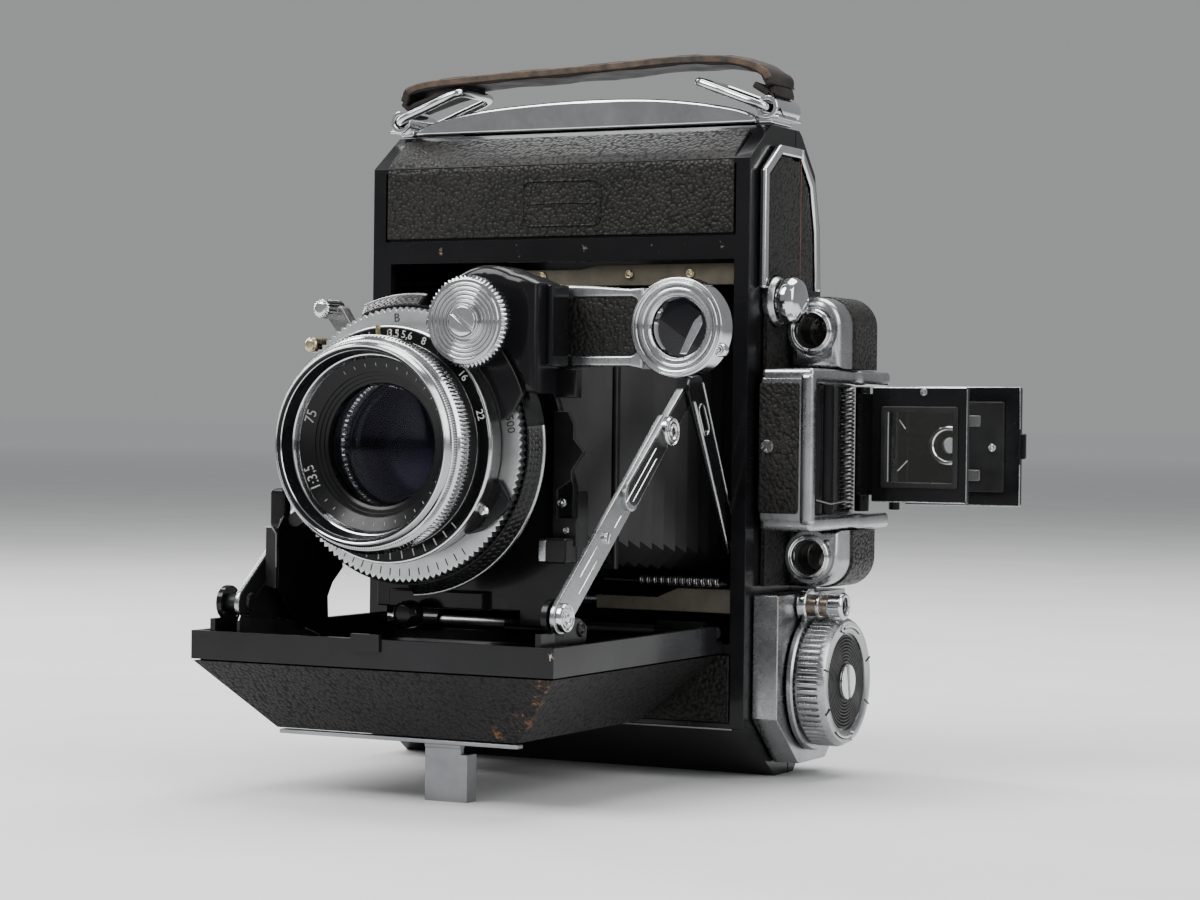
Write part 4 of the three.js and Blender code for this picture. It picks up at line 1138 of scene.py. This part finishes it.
put("speed_scale", "scale", "speed_ring",
    lathe("y", LENS,
        [(13.4, -53.2), (21.75, -53.2), (22.4, -53.12), (22.4, -51.6), (21.9, -50.4), (13.4, -50.4)], 960,
        ripple=teeth(120, 0.6, 21.8), soft=0.0),
    stands="speed_ring", sharp=20)


def on_ring(text, size, radius, degrees, y):
    """A number on the front of a ring, its top outwards."""
    a = math.radians(degrees)
    out = Vector((math.cos(a), 0, math.sin(a)))
    right = Vector((math.sin(a), 0, -math.cos(a)))
    return letters(text, size, lens_point(radius, degrees, y), right, out)


def radial_mark(degrees, inner, outer, y, thick, sides=1):
    return wire([lens_point(r, degrees, y) for r in (inner, outer)], thick, sides=sides)


SPEED_FACE, APERTURE_FACE = -53.22, -57.78
speeds = [("B", 93, 20.6), ("1", 77, 20.6), ("2", 66, 20.6), ("5", 55, 20.6), ("10", 44, 20.6),
    ("25", 33, 20.6), ("50", 22, 20.5), ("500", 10, 20.5)]
put("speed_numbers", "ink", "speed_ring", *[on_ring(t, 2.0, r, d, SPEED_FACE) for t, d, r in speeds])
put("speed_ticks", "ink", "speed_ring",
    *[radial_mark(d, 20.2, 21.4, SPEED_FACE, 0.09) for d in range(-150, -50, 5)])

put("aperture_scale", "face_black", "aperture_ring",
    lathe("y", LENS, [(13.5, -57.75), (18.9, -57.75), (19.05, -57.6), (19.05, -56.7), (13.5, -56.7)], 200,
        soft=0.05),
    stands="aperture_ring")
put("aperture_side", "steel", "aperture_ring",
    lathe("y", LENS, [(13.5, -56.9), (19.0, -56.9), (18.8, -53.5), (13.5, -53.5)], 200, soft=0.05))
put("aperture_edge", "chrome", "aperture_ring",
    lathe("y", LENS,
        [(18.75, -57.7), (18.95, -57.83), (19.2, -57.75), (19.3, -57.5), (19.25, -57.0), (19.0, -57.0)], 200,
        soft=0.05),
    lathe("y", LENS, [(16.85, -57.7), (16.9, -58.05), (17.0, -58.05), (17.05, -57.7)], 200, soft=0.02))
stops = [("3,5", 86.5), ("5,6", 78.5), ("8", 68), ("11", 56), ("16", 38.5), ("22", 16)]
put("aperture_numbers", "paint", "aperture_ring",
    *[on_ring(t, 1.75, 17.95, d, APERTURE_FACE) for t, d in stops])
put("aperture_ticks", "dull_mark", "aperture_ring",
    *[radial_mark(d, 17.3, 18.5, APERTURE_FACE, 0.09) for d in (84, 90, 101, 105, 109, 113, 117, 121)],
    *[radial_mark(d, 17.35, 18.55, APERTURE_FACE, 0.1) for d in range(-150, -38, 7)])
put("index", "brass", "aperture_ring", radial_mark(95.5, 17.1, 19.3, -57.85, 0.42, 2))

tip = lens_point(27.3, math.degrees(2.19))
put("cock_arm", "steel", "cocking_lever",
    plate("xz", slot_shape(lens_point(19.6, 125.5), lens_point(26.2, 125.5), 1.4, 1.7), -49.6, -47.0, 0.3),
    stands="cocking_lever")


def ball_profile(r, y0, y1):
    return [(0, y0), (r * 0.6, y0), (r, y0 + 0.5), (r, y1 - 0.4), (r * 0.7, y1), (0, y1)]


put("cock_tip", "bright", "cocking_lever",
    lathe("y", tip, ball_profile(1.5, -53.4, -47.2), 96, ripple=lambda r, t,
        q: (0.07 * math.sin(q * 18) if r > 1.3 else 0.0, 0.0), soft=0.2))
put("case_pin", "brass", "standard", lathe("y", (-17.9, 74.6), ball_profile(1.25, -52.6, -46.5), 36, soft=0.2))
put("release_arm", "black_metal", "release_lever",
    plate("xz", slot_shape(lens_point(19.8, 209.5), lens_point(26.2, 209.5), 1.3, 1.3), -49.6, -46.5, 0.3),
    stands="release_lever", slot="satin")
bracket = [(13.0, 43.9), (16.4, 44.7), (20.6, 48.0), (21.4, 49.6), (19.0, 53.2), (17.4, 52.2), (13.0, 46.6)]
put("case_bracket", "gloss", "standard", plate("xz", soften(bracket, 0.8), -54.3, -53.4, 0.25))
put("case_screw", "bright", "standard",
    lathe("y", (16.7, 47.9), [(0, -55.3), (0.6, -55.15), (0.95, -54.7), (0.95, -54.1), (0, -54.1)], 32,
        soft=0.1))

# ---------------------------------------------------------------- focusing lens


def knurl(count, depth, lo, hi, r_min):
    def ripple(r, t, a):
        if lo <= t <= hi and r > r_min:
            return depth * math.sin(a * count), 0.0
        return 0.0, 0.0
    return ripple


put("focus_grip", "chrome", "focus_cell",
    lathe("y", LENS,
        [(15.2, -64.15), (16.95, -64.15), (17.2, -63.85), (17.3, -63.7), (17.42, -63.4), (17.42, -61.0),
            (17.0, -60.9), (15.4, -60.9)],
        1240, ripple=knurl(155, 0.17, -63.5, -60.95, 17.1), soft=0.0),
    stands="focus_ring", sharp=35, weighted=False)
put("focus_sleeve", "black_metal", "focus_cell",
    lathe("y", LENS,
        [(13.5, -57.95), (16.9, -57.95), (16.95, -58.1), (16.95, -60.9), (15.4, -60.95), (15.4, -58.6),
            (13.5, -58.6)],
        160, soft=0.05),
    slot="chrome")
put("focus_band", "bright", "focus_cell",
    lathe("y", LENS,
        [(15.2, -65.1), (16.45, -65.1), (16.62, -64.95), (16.68, -64.3), (16.5, -64.2), (15.2, -64.2)], 1500,
        ripple=knurl(250, 0.075, -65.0, -64.25, 16.55), soft=0.0),
    slot="chrome", sharp=35, weighted=False)
put("bezel", "bezel_metal", "focus_cell",
    lathe("y", LENS,
        [(15.62, -66.2), (15.8, -66.2), (15.98, -66.0), (16.3, -65.5), (16.42, -65.15), (14.9, -64.6),
            (14.9, -62.4), (15.15, -65.4)],
        200, soft=0.06))
put("bezel_lip", "chrome", "focus_cell",
    lathe("y", LENS, [(15.55, -66.25), (15.72, -66.34), (15.86, -66.2), (15.8, -66.05), (15.55, -66.1)], 200,
        soft=0.03),
    lathe("y", LENS, [(15.0, -65.6), (15.12, -65.75), (15.25, -65.65), (15.2, -65.4), (15.05, -65.35)], 200,
        soft=0.03))
put("barrel", "face_black", "focus_cell",
    lathe("y", LENS,
        [(15.25, -66.0), (15.6, -66.1), (15.6, -65.7), (15.3, -64.4), (14.95, -62.6), (14.9, -59.6),
            (10.6, -58.9), (10.6, -56.4), (10.0, -56.4), (10.0, -59.5), (10.5, -59.7), (10.5, -60.0),
            (11.1, -60.1), (11.1, -60.4), (11.7, -60.5), (11.7, -60.8), (14.1, -61.9), (14.45, -62.8),
            (15.0, -65.5)],
        200, soft=0.04),
    stands="lens_barrel")
put("name_ring_edge", "chrome", "focus_cell",
    lathe("y", LENS,
        [(13.85, -61.85), (14.0, -62.15), (14.3, -63.0), (14.5, -63.15), (14.6, -62.8), (14.3, -61.8)], 200,
        soft=0.04))


def on_name_ring(text, size, degrees):
    """A mark on the sloping ring inside the bezel, its top outwards."""
    a = math.radians(degrees)
    out = Vector((math.cos(a), 0, math.sin(a)))
    right = Vector((math.sin(a), 0, -math.cos(a)))
    up = out * 0.91 + Vector((0, -1, 0)) * 0.41
    return letters(text, size, lens_point(12.9, degrees, -61.38), right, up, 0.03)


marks = [on_name_ring("1:3,5", 2.3, 205), on_name_ring("75", 2.3, 160)]
for d in range(225, 478, 9):
    marks.append(wire([lens_point(r, d, -60.87 - (r - 11.8) * 0.46) for r in (12.6, 13.1)], 0.06, sides=1))
put("ring_marks", "dull_mark", "focus_cell", *marks)


def dome(r, y_edge, rise, rings=14, steps=96, y_back=None):
    """A round glass whose front bulges by rise towards the viewer (-Y)."""
    profile = []
    for i in range(rings + 1):
        q = r * i / rings
        profile.append((q, y_edge - rise * (1 - (q / r) ** 2)))
    profile += [(r, y_back), (0, y_back + 0.4)]
    return lathe("y", LENS, profile, steps, soft=0, closed=False)


put("front_lens", "glass", "focus_cell", dome(9.7, -58.7, 1.7, y_back=-57.2), stands="front_glass",
    weighted=False)
put("inner_ring", "bright", "standard",
    lathe("y", LENS, [(9.1, -50.7), (9.3, -51.3), (9.6, -51.9), (9.9, -52.2), (10.25, -52.2), (10.25, -50.6)],
        900, ripple=lambda r, t,
        q: (0.07 * math.sin(q * 90) * math.sin(t * 9), 0.12 * math.sin(q * 110) * math.sin(q * 37)), soft=0.0),
    slot="dark_metal", sharp=25, weighted=False)
put("inner_wall", "matt", "standard",
    lathe("y", LENS, [(10.55, -56.2), (11.2, -56.2), (11.2, -48), (9.0, -48), (9.0, -51), (10.4, -51.2)], 96,
        soft=0.05))
put("inner_lens", "coated", "standard", dome(9.4, -50.2, 2.1, y_back=-49.3), weighted=False)

# ---------------------------------------------------------------- rangefinder


def pear():
    """The cover's outline: round at the wheel, straight to the arm, cut clear of the shutter."""
    points = circle(*WHEEL, 9.3, 40, 60, 232)
    start = math.atan2(70.9 - LENS[1], 10.4 - LENS[0])
    for i in range(13):
        t = start + (math.radians(21) - start) * i / 12
        points.append((LENS[0] + 24.0 * math.cos(t), LENS[1] + 24.0 * math.sin(t)))
    points += [(25.4, 66.8), (25.4, 84.4), (22.5, 85.6)]
    return points


def apron():
    """The cover's lip that laps over the speed ring, round the aperture ring."""
    inner = [lens_point(19.6, d) for d in range(12, 72, 4)]
    outer = [lens_point(24.5, d) for d in range(68, 17, -3)]
    return inner + outer + [lens_point(22.2, 14.5)]


body_cover = plate("xz", pear(), -53.9, -44.5, 1.5)
put("cover_body", "gloss", "standard", body_cover, plate("xz", apron(), -54.5, -53.35, 0.3),
    stands="rangefinder_housing")
put("cover_step", "gloss", "standard",
    plate("xz", [(24.9, 71.2), (26.6, 71.2), (26.6, 84.2), (24.9, 84.2)], -50.6, -44.6, 0.5),
    plate("xz", [(24.9, 66.2), (29.0, 66.2), (29.0, 70.9), (24.9, 70.9)], -46.5, -44.5, 0.4))


def face_rings(radii, y, height):
    """Concentric turned ridges on a round face."""
    out = []
    for r in radii:
        out += [(r + 0.16, y), (r + 0.1, y - height), (r - 0.1, y - height), (r - 0.16, y)]
    return out


grooves = face_rings([6.0, 5.3, 4.6, 3.9, 3.3], -60.05, 0.22)
put("wheel", "chrome", "focus_wheel",
    lathe("y", WHEEL,
        [(1.0, -51), (2, -51), (2, -57.9), (7.4, -57.9), (7.4, -59.4), (6.7, -60.05), *grooves, (2.8, -60.05),
            (1.0, -60.05)],
        480, ripple=teeth(60, 0.55, 7.2), soft=0.05),
    stands="focus_wheel", sharp=30)
put("wheel_screw", "bright", "focus_wheel", *screw("y", WHEEL, 2.35, -59.8, -61.0, -38, slot_width=0.13),
    lathe("y", WHEEL, [(2.45, -60.1), (2.45, -60.9), (2.75, -60.9), (2.85, -60.1)], 64, soft=0.05),
    slot="chrome")

arm_outline = []
arm_outline += circle(*WHEEL, 8.0, 30, 90, 270)
arm_outline += [(30, 71.3), (37.0, 71.3), (39.4, 70.9)]
arm_outline += circle(*WINDOW, 7.9, 44, -140, 140)
arm_outline += [(39.4, 83.8), (37.0, 83.7), (30, 84.2), (24, 84.4)]
hole = circle(*WINDOW, 5.0, 48)
pocket = rounded(25.4, 38.4, 73.0, 82.4, 1.5)
put("arm_back", "satin", "rangefinder_arm", plate("xz", arm_outline, -42.9, -40.3, 0.3, holes=[hole]),
    stands="rangefinder_arm")
put("arm_face", "satin", "rangefinder_arm", plate("xz", arm_outline, -44.1, -42.7, 0.4, holes=[hole, pocket]))
put("arm_leather", "leather", "rangefinder_arm",
    plate("xz", rounded(25.0, 38.8, 72.7, 82.7, 1.6), -43.75, -42.8, 0.25))
steps = [(4.75, -42.2), (4.85, -43.6), (5.05, -43.85), (5.3, -43.75), (5.4, -43.35), (5.75, -43.4),
    (5.85, -44.3), (6.05, -44.45), (6.3, -44.35), (6.4, -43.95), (6.75, -44.0), (6.85, -44.7), (7.1, -44.85),
    (7.3, -44.7), (7.4, -44.35), (7.65, -44.4), (7.75, -44.6), (7.95, -44.45), (8.0, -44.1), (8.0, -40.4),
    (7.2, -40.2), (4.75, -40.2)]
put("arm_window", "chrome", "rangefinder_arm", lathe("y", WINDOW, steps, 96, soft=0.08), slot="satin")
put("wedge", "glass", "wedge_glass",
    lathe("y", WINDOW, [(0, -43.3), (4.6, -43.0), (4.6, -41.4), (0, -41.2)], 64, soft=0, closed=False),
    stands="wedge_glass", weighted=False)
put("wedge_mirror", "bright", "wedge_glass",
    plate("xz", soften([(45.0, 73.4), (46.2, 73.3), (49.0, 78.2), (48.6, 79.6), (47.4, 78.4)], 0.3), -41.5,
        -41.3, 0.05),
    slot="glass")
put("arm_end_screw", "bright", "rangefinder_arm", rivet("y", (52.9, 73.9), 1.1, -42.8, -44.6, 2))

# ---------------------------------------------------------------- finder block
ledge = [(39.4, 2.5), (49.3, 2.5), (49.3, 21.5), (50.3, 23.5), (50.3, 36.0), (49.4, 37.3), (47.0, 37.3),
    (44.0, 33.6), (39.4, 33.6)]
put("finder_ledges", "satin", BODY, plate("xy", soften(ledge, 0.9), 69.5, 72.1, 0.8),
    plate("xy", soften(ledge, 0.9), 43.9, 46.6, 0.8),
    plate("xy", rounded(39.4, 42.4, 3.0, 33.4, 0.4), 46.0, 70.0, 0.1),
    plate("xz", rounded(39.4, 44.2, 46.0, 70.0, 0.4), 32.2, 33.5, 0.1), stands="finder_block")
put("finder_front", "satin", BODY, plate("xz", rounded(39.4, 49.3, 45.4, 70.6, 0.8), 2.5, 3.6, 0.35),
    plate("xz", rounded(47.0, 49.4, 45.0, 71.2, 0.8), 2.0, 4.2, 0.8))
put("finder_front_leather", "leather", BODY, plate("xz", rounded(39.3, 46.7, 46.9, 69.6, 0.7), 2.1, 2.75, 0.2))
put("finder_front_screw", "steel", BODY, *screw("y", (41.0, 58.5), 1.15, 2.4, 1.6, 40, True))
put("finder_well_wall", "gloss", BODY, plate("yz", rounded(4.2, 32.0, 46.8, 69.3, 0.3), 42.4, 42.9, 0.12),
    plate("xz", rounded(42.6, 48.6, 46.8, 69.3, 0.3), 4.3, 4.9, 0.12), slot="dark_metal")
put("finder_well_ribs", "gloss", BODY,
    lathe("z", (44.9, 11.6), [(0, 46.7), (2.3, 46.7), (2.3, 69.4), (0, 69.4)], 64, soft=0.2),
    lathe("z", (45.6, 17.0), [(0, 46.7), (1.6, 46.7), (1.6, 69.4), (0, 69.4)], 48, soft=0.2), slot="dark_metal")
put("finder_spring", "steel", BODY, coil("z", (48.3, 20.6), 1.05, 47.4, 68.8, 30, 0.24))
put("finder_spring_leg", "steel", BODY, wire([(48.9, 19.8, 49), (47.9, 14, 48.5), (47.6, 8.0, 49.3)], 0.2))


def lobe_outline(z_low, z_high, up, grow):
    radius = 5.0
    z0, z1 = (z_low, z_high) if up else (z_high, z_low)
    turn = 1 if up else -1
    points = [(39.4, z0), (49.2 + grow, z0)]
    for i in range(15):
        t = math.pi / 2 * i / 14
        points.append(
            (49.2 - radius + (radius + grow) * math.cos(t),
                z1 + turn * ((radius + grow) * math.sin(t) - radius)))
    points.append((39.4, z1 + turn * grow))
    return points if up else list(reversed(points))


for tag, low, high, win, up in (("upper", 72.3, 84.9, 78.9, True), ("lower", 33.7, 43.7, 39.0, False)):
    outline = lobe_outline(low, high, up, 0.0)
    hole = circle(43.9, win, 3.1, 48)
    put(tag + "_lobe_body", "satin", BODY, plate("xz", outline, 14.6, 32.0, 1.6, holes=[hole]),
        stands=tag + "_lobe")
    wrap = lobe_outline(low, high, up, 0.35)
    put(tag + "_lobe_leather", "leather", BODY, plate("xz", wrap, 20.4, 31.8, 0.7))
    ring = [(3.0, 16.5), (3.0, 14.1), (3.1, 13.5), (3.3, 13.4), (3.45, 13.7), (3.55, 13.75), (3.75, 13.6),
        (3.95, 13.9), (4.05, 14.5), (4.0, 15.0), (3.2, 15.2), (3.2, 16.5)]
    put(tag + "_window_ring", "chrome", BODY, lathe("y", (43.9, win), ring, 72, soft=0.06))
    put(tag + "_window_tube", "black_metal", BODY,
        lathe("y", (43.9, win), [(2.7, 15.4), (3.05, 15.4), (3.05, 28), (0.01, 28), (0.01, 27.4), (2.7, 27.2)],
            48, soft=0, closed=True),
        slot="dark_metal")
    put(tag + "_window_glass", "finder_glass", BODY,
        lathe("y", (43.9, win), [(0, 17.2), (2.85, 17.4), (2.85, 18.0), (0, 18.0)], 48, soft=0, closed=False),
        weighted=False)

# Folding finder
put_cad("front_frame", "gloss", "finder_frame", "finder_frame", 0.25, 3)
put("front_frame_edge", "satin", "finder_frame", wire([(52.8, 21.75, 69.05), (70.2, 21.75, 69.05)], 0.16),
    wire([(52.8, 21.75, 48.95), (70.2, 21.75, 48.95)], 0.14),
    wire([(70.25, 21.75, 49.1), (70.25, 21.75, 68.9)], 0.12), slot="chrome")
put("front_frame_inner", "black_metal", "finder_frame",
    plate("xz", rounded(54.4, 68.8, 51.4, 65.8, 0.6), 21.2, 21.9, 0.15,
        holes=[rounded(55.4, 67.8, 52.4, 64.8, 0.4)]))
put_cad("finder_pane", "finder_glass", "finder_frame", "finder_glass", 0.15, 2)
put("finder_marks", "paint", "finder_frame", wire([(57.2, 22.8, 54.4), (59.0, 22.8, 56.2)], 0.1),
    wire([(57.4, 22.8, 63.4), (58.6, 22.8, 61.8)], 0.1), slot="glass")
put("finder_frame_pin", "satin", "finder_frame", rivet("y", (62.4, 68.3), 0.7, 21.6, 20.9, 1))
put("eye_plate", "gloss", "finder_eye_plate",
    plate("xz", rounded(52.4, 74.3, 48.1, 69.5, 0.4), 38.6, 39.8, 0.2, holes=[circle(*EYE_HOLE, 1.4, 24)]),
    plate("xz", rounded(73.9, 75.2, 56.6, 61.2, 0.3), 38.7, 39.6, 0.2),
    plate("xz", rounded(50.6, 53.2, 50, 68, 0.3), 38.0, 39.2, 0.2),
    lathe("z", (50.5, 38.2), [(0, 47), (1, 47), (1, 69.2), (0, 69.2)], 32, soft=0.1), stands="finder_eye_plate")
put("eye_plate_edge", "satin", "finder_eye_plate",
    wire([(52.6, 38.5, 69.45), (74.2, 38.5, 69.45), (74.25, 38.5, 62.0)], 0.17),
    wire([(74.25, 38.5, 55.6), (74.25, 38.5, 48.2), (52.6, 38.5, 48.15)], 0.17), slot="chrome")
put("eye_plate_step", "black_metal", "finder_eye_plate",
    plate("xz", rounded(62.4, 71.4, 50.6, 66.9, 0.5), 38.1, 38.7, 0.15))
put("eye_plate_rivet", "bright", "finder_eye_plate", rivet("y", (69.3, 58.6), 0.75, 38.2, 37.4, 1))
put("eye_plate_tabs", "steel", "finder_eye_plate",
    plate("xz", rounded(64.6, 67.0, 62.3, 64.4, 0.4), 37.8, 38.2, 0.12),
    plate("xz", rounded(64.6, 67.0, 52.6, 54.6, 0.4), 37.8, 38.2, 0.12), slot="lacquer")
put("eye_cup", "bright", "finder_eye_plate",
    lathe("y", EYE_HOLE, [(2.7, 38.7), (2.7, 37.6), (2.9, 37.4), (3.3, 37.4), (3.5, 37.6), (3.5, 38.7)], 60,
        soft=0.05),
    slot="lacquer")

# ---------------------------------------------------------------- controls on the side
put("button", "chrome", "bed_button",
    lathe("x", BUTTON,
        [(0, 34.6), (2.2, 34.6), (2.2, 41), (4.0, 41.0), (4.25, 41.5), (4.2, 42.6), (3.6, 43.7), (2.2, 44.35),
            (0, 44.6)],
        72, soft=0.3),
    stands="bed_button")
put("button_collar", "satin", BODY,
    lathe("x", BUTTON, [(2.6, 38.2), (4.3, 38.2), (4.4, 39.4), (3.9, 40.3), (2.6, 40.3)], 64, soft=0.2),
    slot="chrome")
put_cad("knob_housing", "satin", BODY, "knob_base", 0.9, 5, 20)


def flute_ripple(r, t, a):
    """Rounded ribs with narrow grooves between them."""
    if not (45.0 < t < 48.7 and r > 11.3):
        return 0.0, 0.0
    return -0.42 * abs(math.sin(a * 29)) ** 6, 0.0


knob_profile = [(2.2, 33), (2.2, 43.3), (12.1, 43.3), (12.4, 43.6), (12.4, 44.3), (12.1, 44.6), (10.9, 44.7),
    (10.9, 44.9), (11.5, 45.1), (11.5, 48.6), (11.35, 49.0), (10.9, 49.8), (10.7, 50.0), (8.9, 50.0),
    (8.6, 49.8), (8.5, 49.3), (1.0, 49.3), (1.0, 33)]
put("knob", "satin", "winding_knob", lathe("x", KNOB, knob_profile, 870, ripple=flute_ripple, soft=0.0),
    plate("xz", rect(30.4, 33.4, 15.1, 18.9), 17.1, 18.9, 0.2), stands="winding_knob", slot="chrome", sharp=40,
    weighted=False)
black_rings = []
for k in range(9):
    r = 8.3 - k * 0.56
    black_rings += [(r, 49.35), (r - 0.16, 49.62), (r - 0.36, 49.62)]
put("knob_disc", "black_metal", "winding_knob",
    lathe("x", KNOB, [(8.4, 49.2), *black_rings, (3.0, 49.3), (3.0, 49.2)], 96, soft=0.0), slot="chrome",
    sharp=25)
put("knob_hub", "chrome", "winding_knob", *screw("x", KNOB, 3.1, 49.2, 50.3, 100, slot_width=0.16))


def knob_point(x, r, a):
    return x, KNOB[0] + r * math.cos(a), KNOB[1] + r * math.sin(a)


def arc_arrow(start, end, radius=9.8, x=50.02):
    """A curved arrow on the knob's face."""
    mid = []
    for i in range(11):
        a = math.radians(start + (end - start) * i / 10)
        mid.append(knob_point(x, radius, a))
    a = math.radians(end)
    sign = 1 if end > start else -1
    tip = math.radians(end + sign * 9)
    head = []
    for dr in (-0.75, 0.75):
        head.append(wire([knob_point(x, radius + dr, a), knob_point(x, radius, tip)], 0.17, sides=1))
    return [wire(mid, 0.2, sides=1), *head]


put("knob_arrows", "paint", "winding_knob", *arc_arrow(60, 100, x=50.1), *arc_arrow(240, 280, x=50.1),
    slot="chrome")
# Dark copies of the arrows, set a little lower on the face and behind them, are painted shadow under the white
# arrows.
put("knob_arrow_painted_shadows", "ink", "winding_knob", *arc_arrow(59, 101, 9.62, 50.0),
    *arc_arrow(239, 281, 9.98, 50.0), slot="chrome")
marks = []
for d in (20, 165, 208, 335):
    a = math.radians(d)
    marks.append(wire([knob_point(50.04, r, a) for r in (9.0, 11.0)], 0.16, sides=1))
put("knob_marks", "ink", "winding_knob", *marks, slot="chrome")

put("socket", "chrome", BODY,
    lathe("x", SOCKET, [(1.5, 43.3), (2.9, 43.3), (3.0, 43.6), (3.0, 44.8), (2.7, 45.0), (1.5, 45.0)], 60,
        soft=0.15),
    lathe("x", SOCKET,
        [(1.5, 48.6), (2.2, 48.6), (2.45, 48.9), (2.45, 51.1), (2.15, 51.5), (1.6, 51.5), (1.5, 51.2)], 60,
        soft=0.1),
    lathe("x", SOCKET, [(1.5, 46.5), (2.35, 46.5), (2.35, 47.1), (1.5, 47.1)], 60, soft=0.1),
    stands="release_socket")
put("socket_neck", "neck", BODY,
    lathe("x", SOCKET, [(1.5, 44.9), (1.95, 44.9), (1.85, 46.6), (1.95, 48.7), (1.5, 48.7)], 48, soft=0.1))
put("socket_thread", "steel", BODY, coil("x", SOCKET, 1.45, 48.7, 51.2, 5, 0.12))
put("plunger", "steel", "shutter_plunger",
    lathe("x", SOCKET, [(0, 34.8), (1.1, 34.8), (1.1, 49.0), (0.8, 49.4), (0, 49.4)], 32),
    stands="shutter_plunger")

# ---------------------------------------------------------------- inside the opening
put("upper_stop", "khaki", BODY,
    plate("xz", [(-10, 86.6), (34.4, 86.6), (34.4, 90.4), (8, 90.4), (4, 89.6), (-10, 89.6)], 1.9, 2.8, 0.2))
put("upper_stop_rivets", "brass", BODY, rivet("y", (-3.5, 88.4), 0.9, 1.95, 1.2, 1),
    rivet("y", (14, 88.6), 0.8, 1.95, 1.3, 1), rivet("y", (26, 88.6), 0.8, 1.95, 1.3, 1))
put("lower_stop", "beige", BODY,
    plate("xz", [(8, 29.2), (34.4, 29.2), (34.4, 33.4), (24, 33.4), (20, 31.6), (8, 31.6)], 2.2, 3.0, 0.2))
put("bed_spring", "steel", BODY, coil("x", (1.4, 34.6), 0.7, 17.2, 32.7, 34, 0.17))
put("bed_spring_rod", "steel", BODY, wire([(10, 1.4, 34.6), (34, 1.4, 34.3)], 0.22))

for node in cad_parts.values():
    if not node.hide_render:
        dress(node.name, "satin")
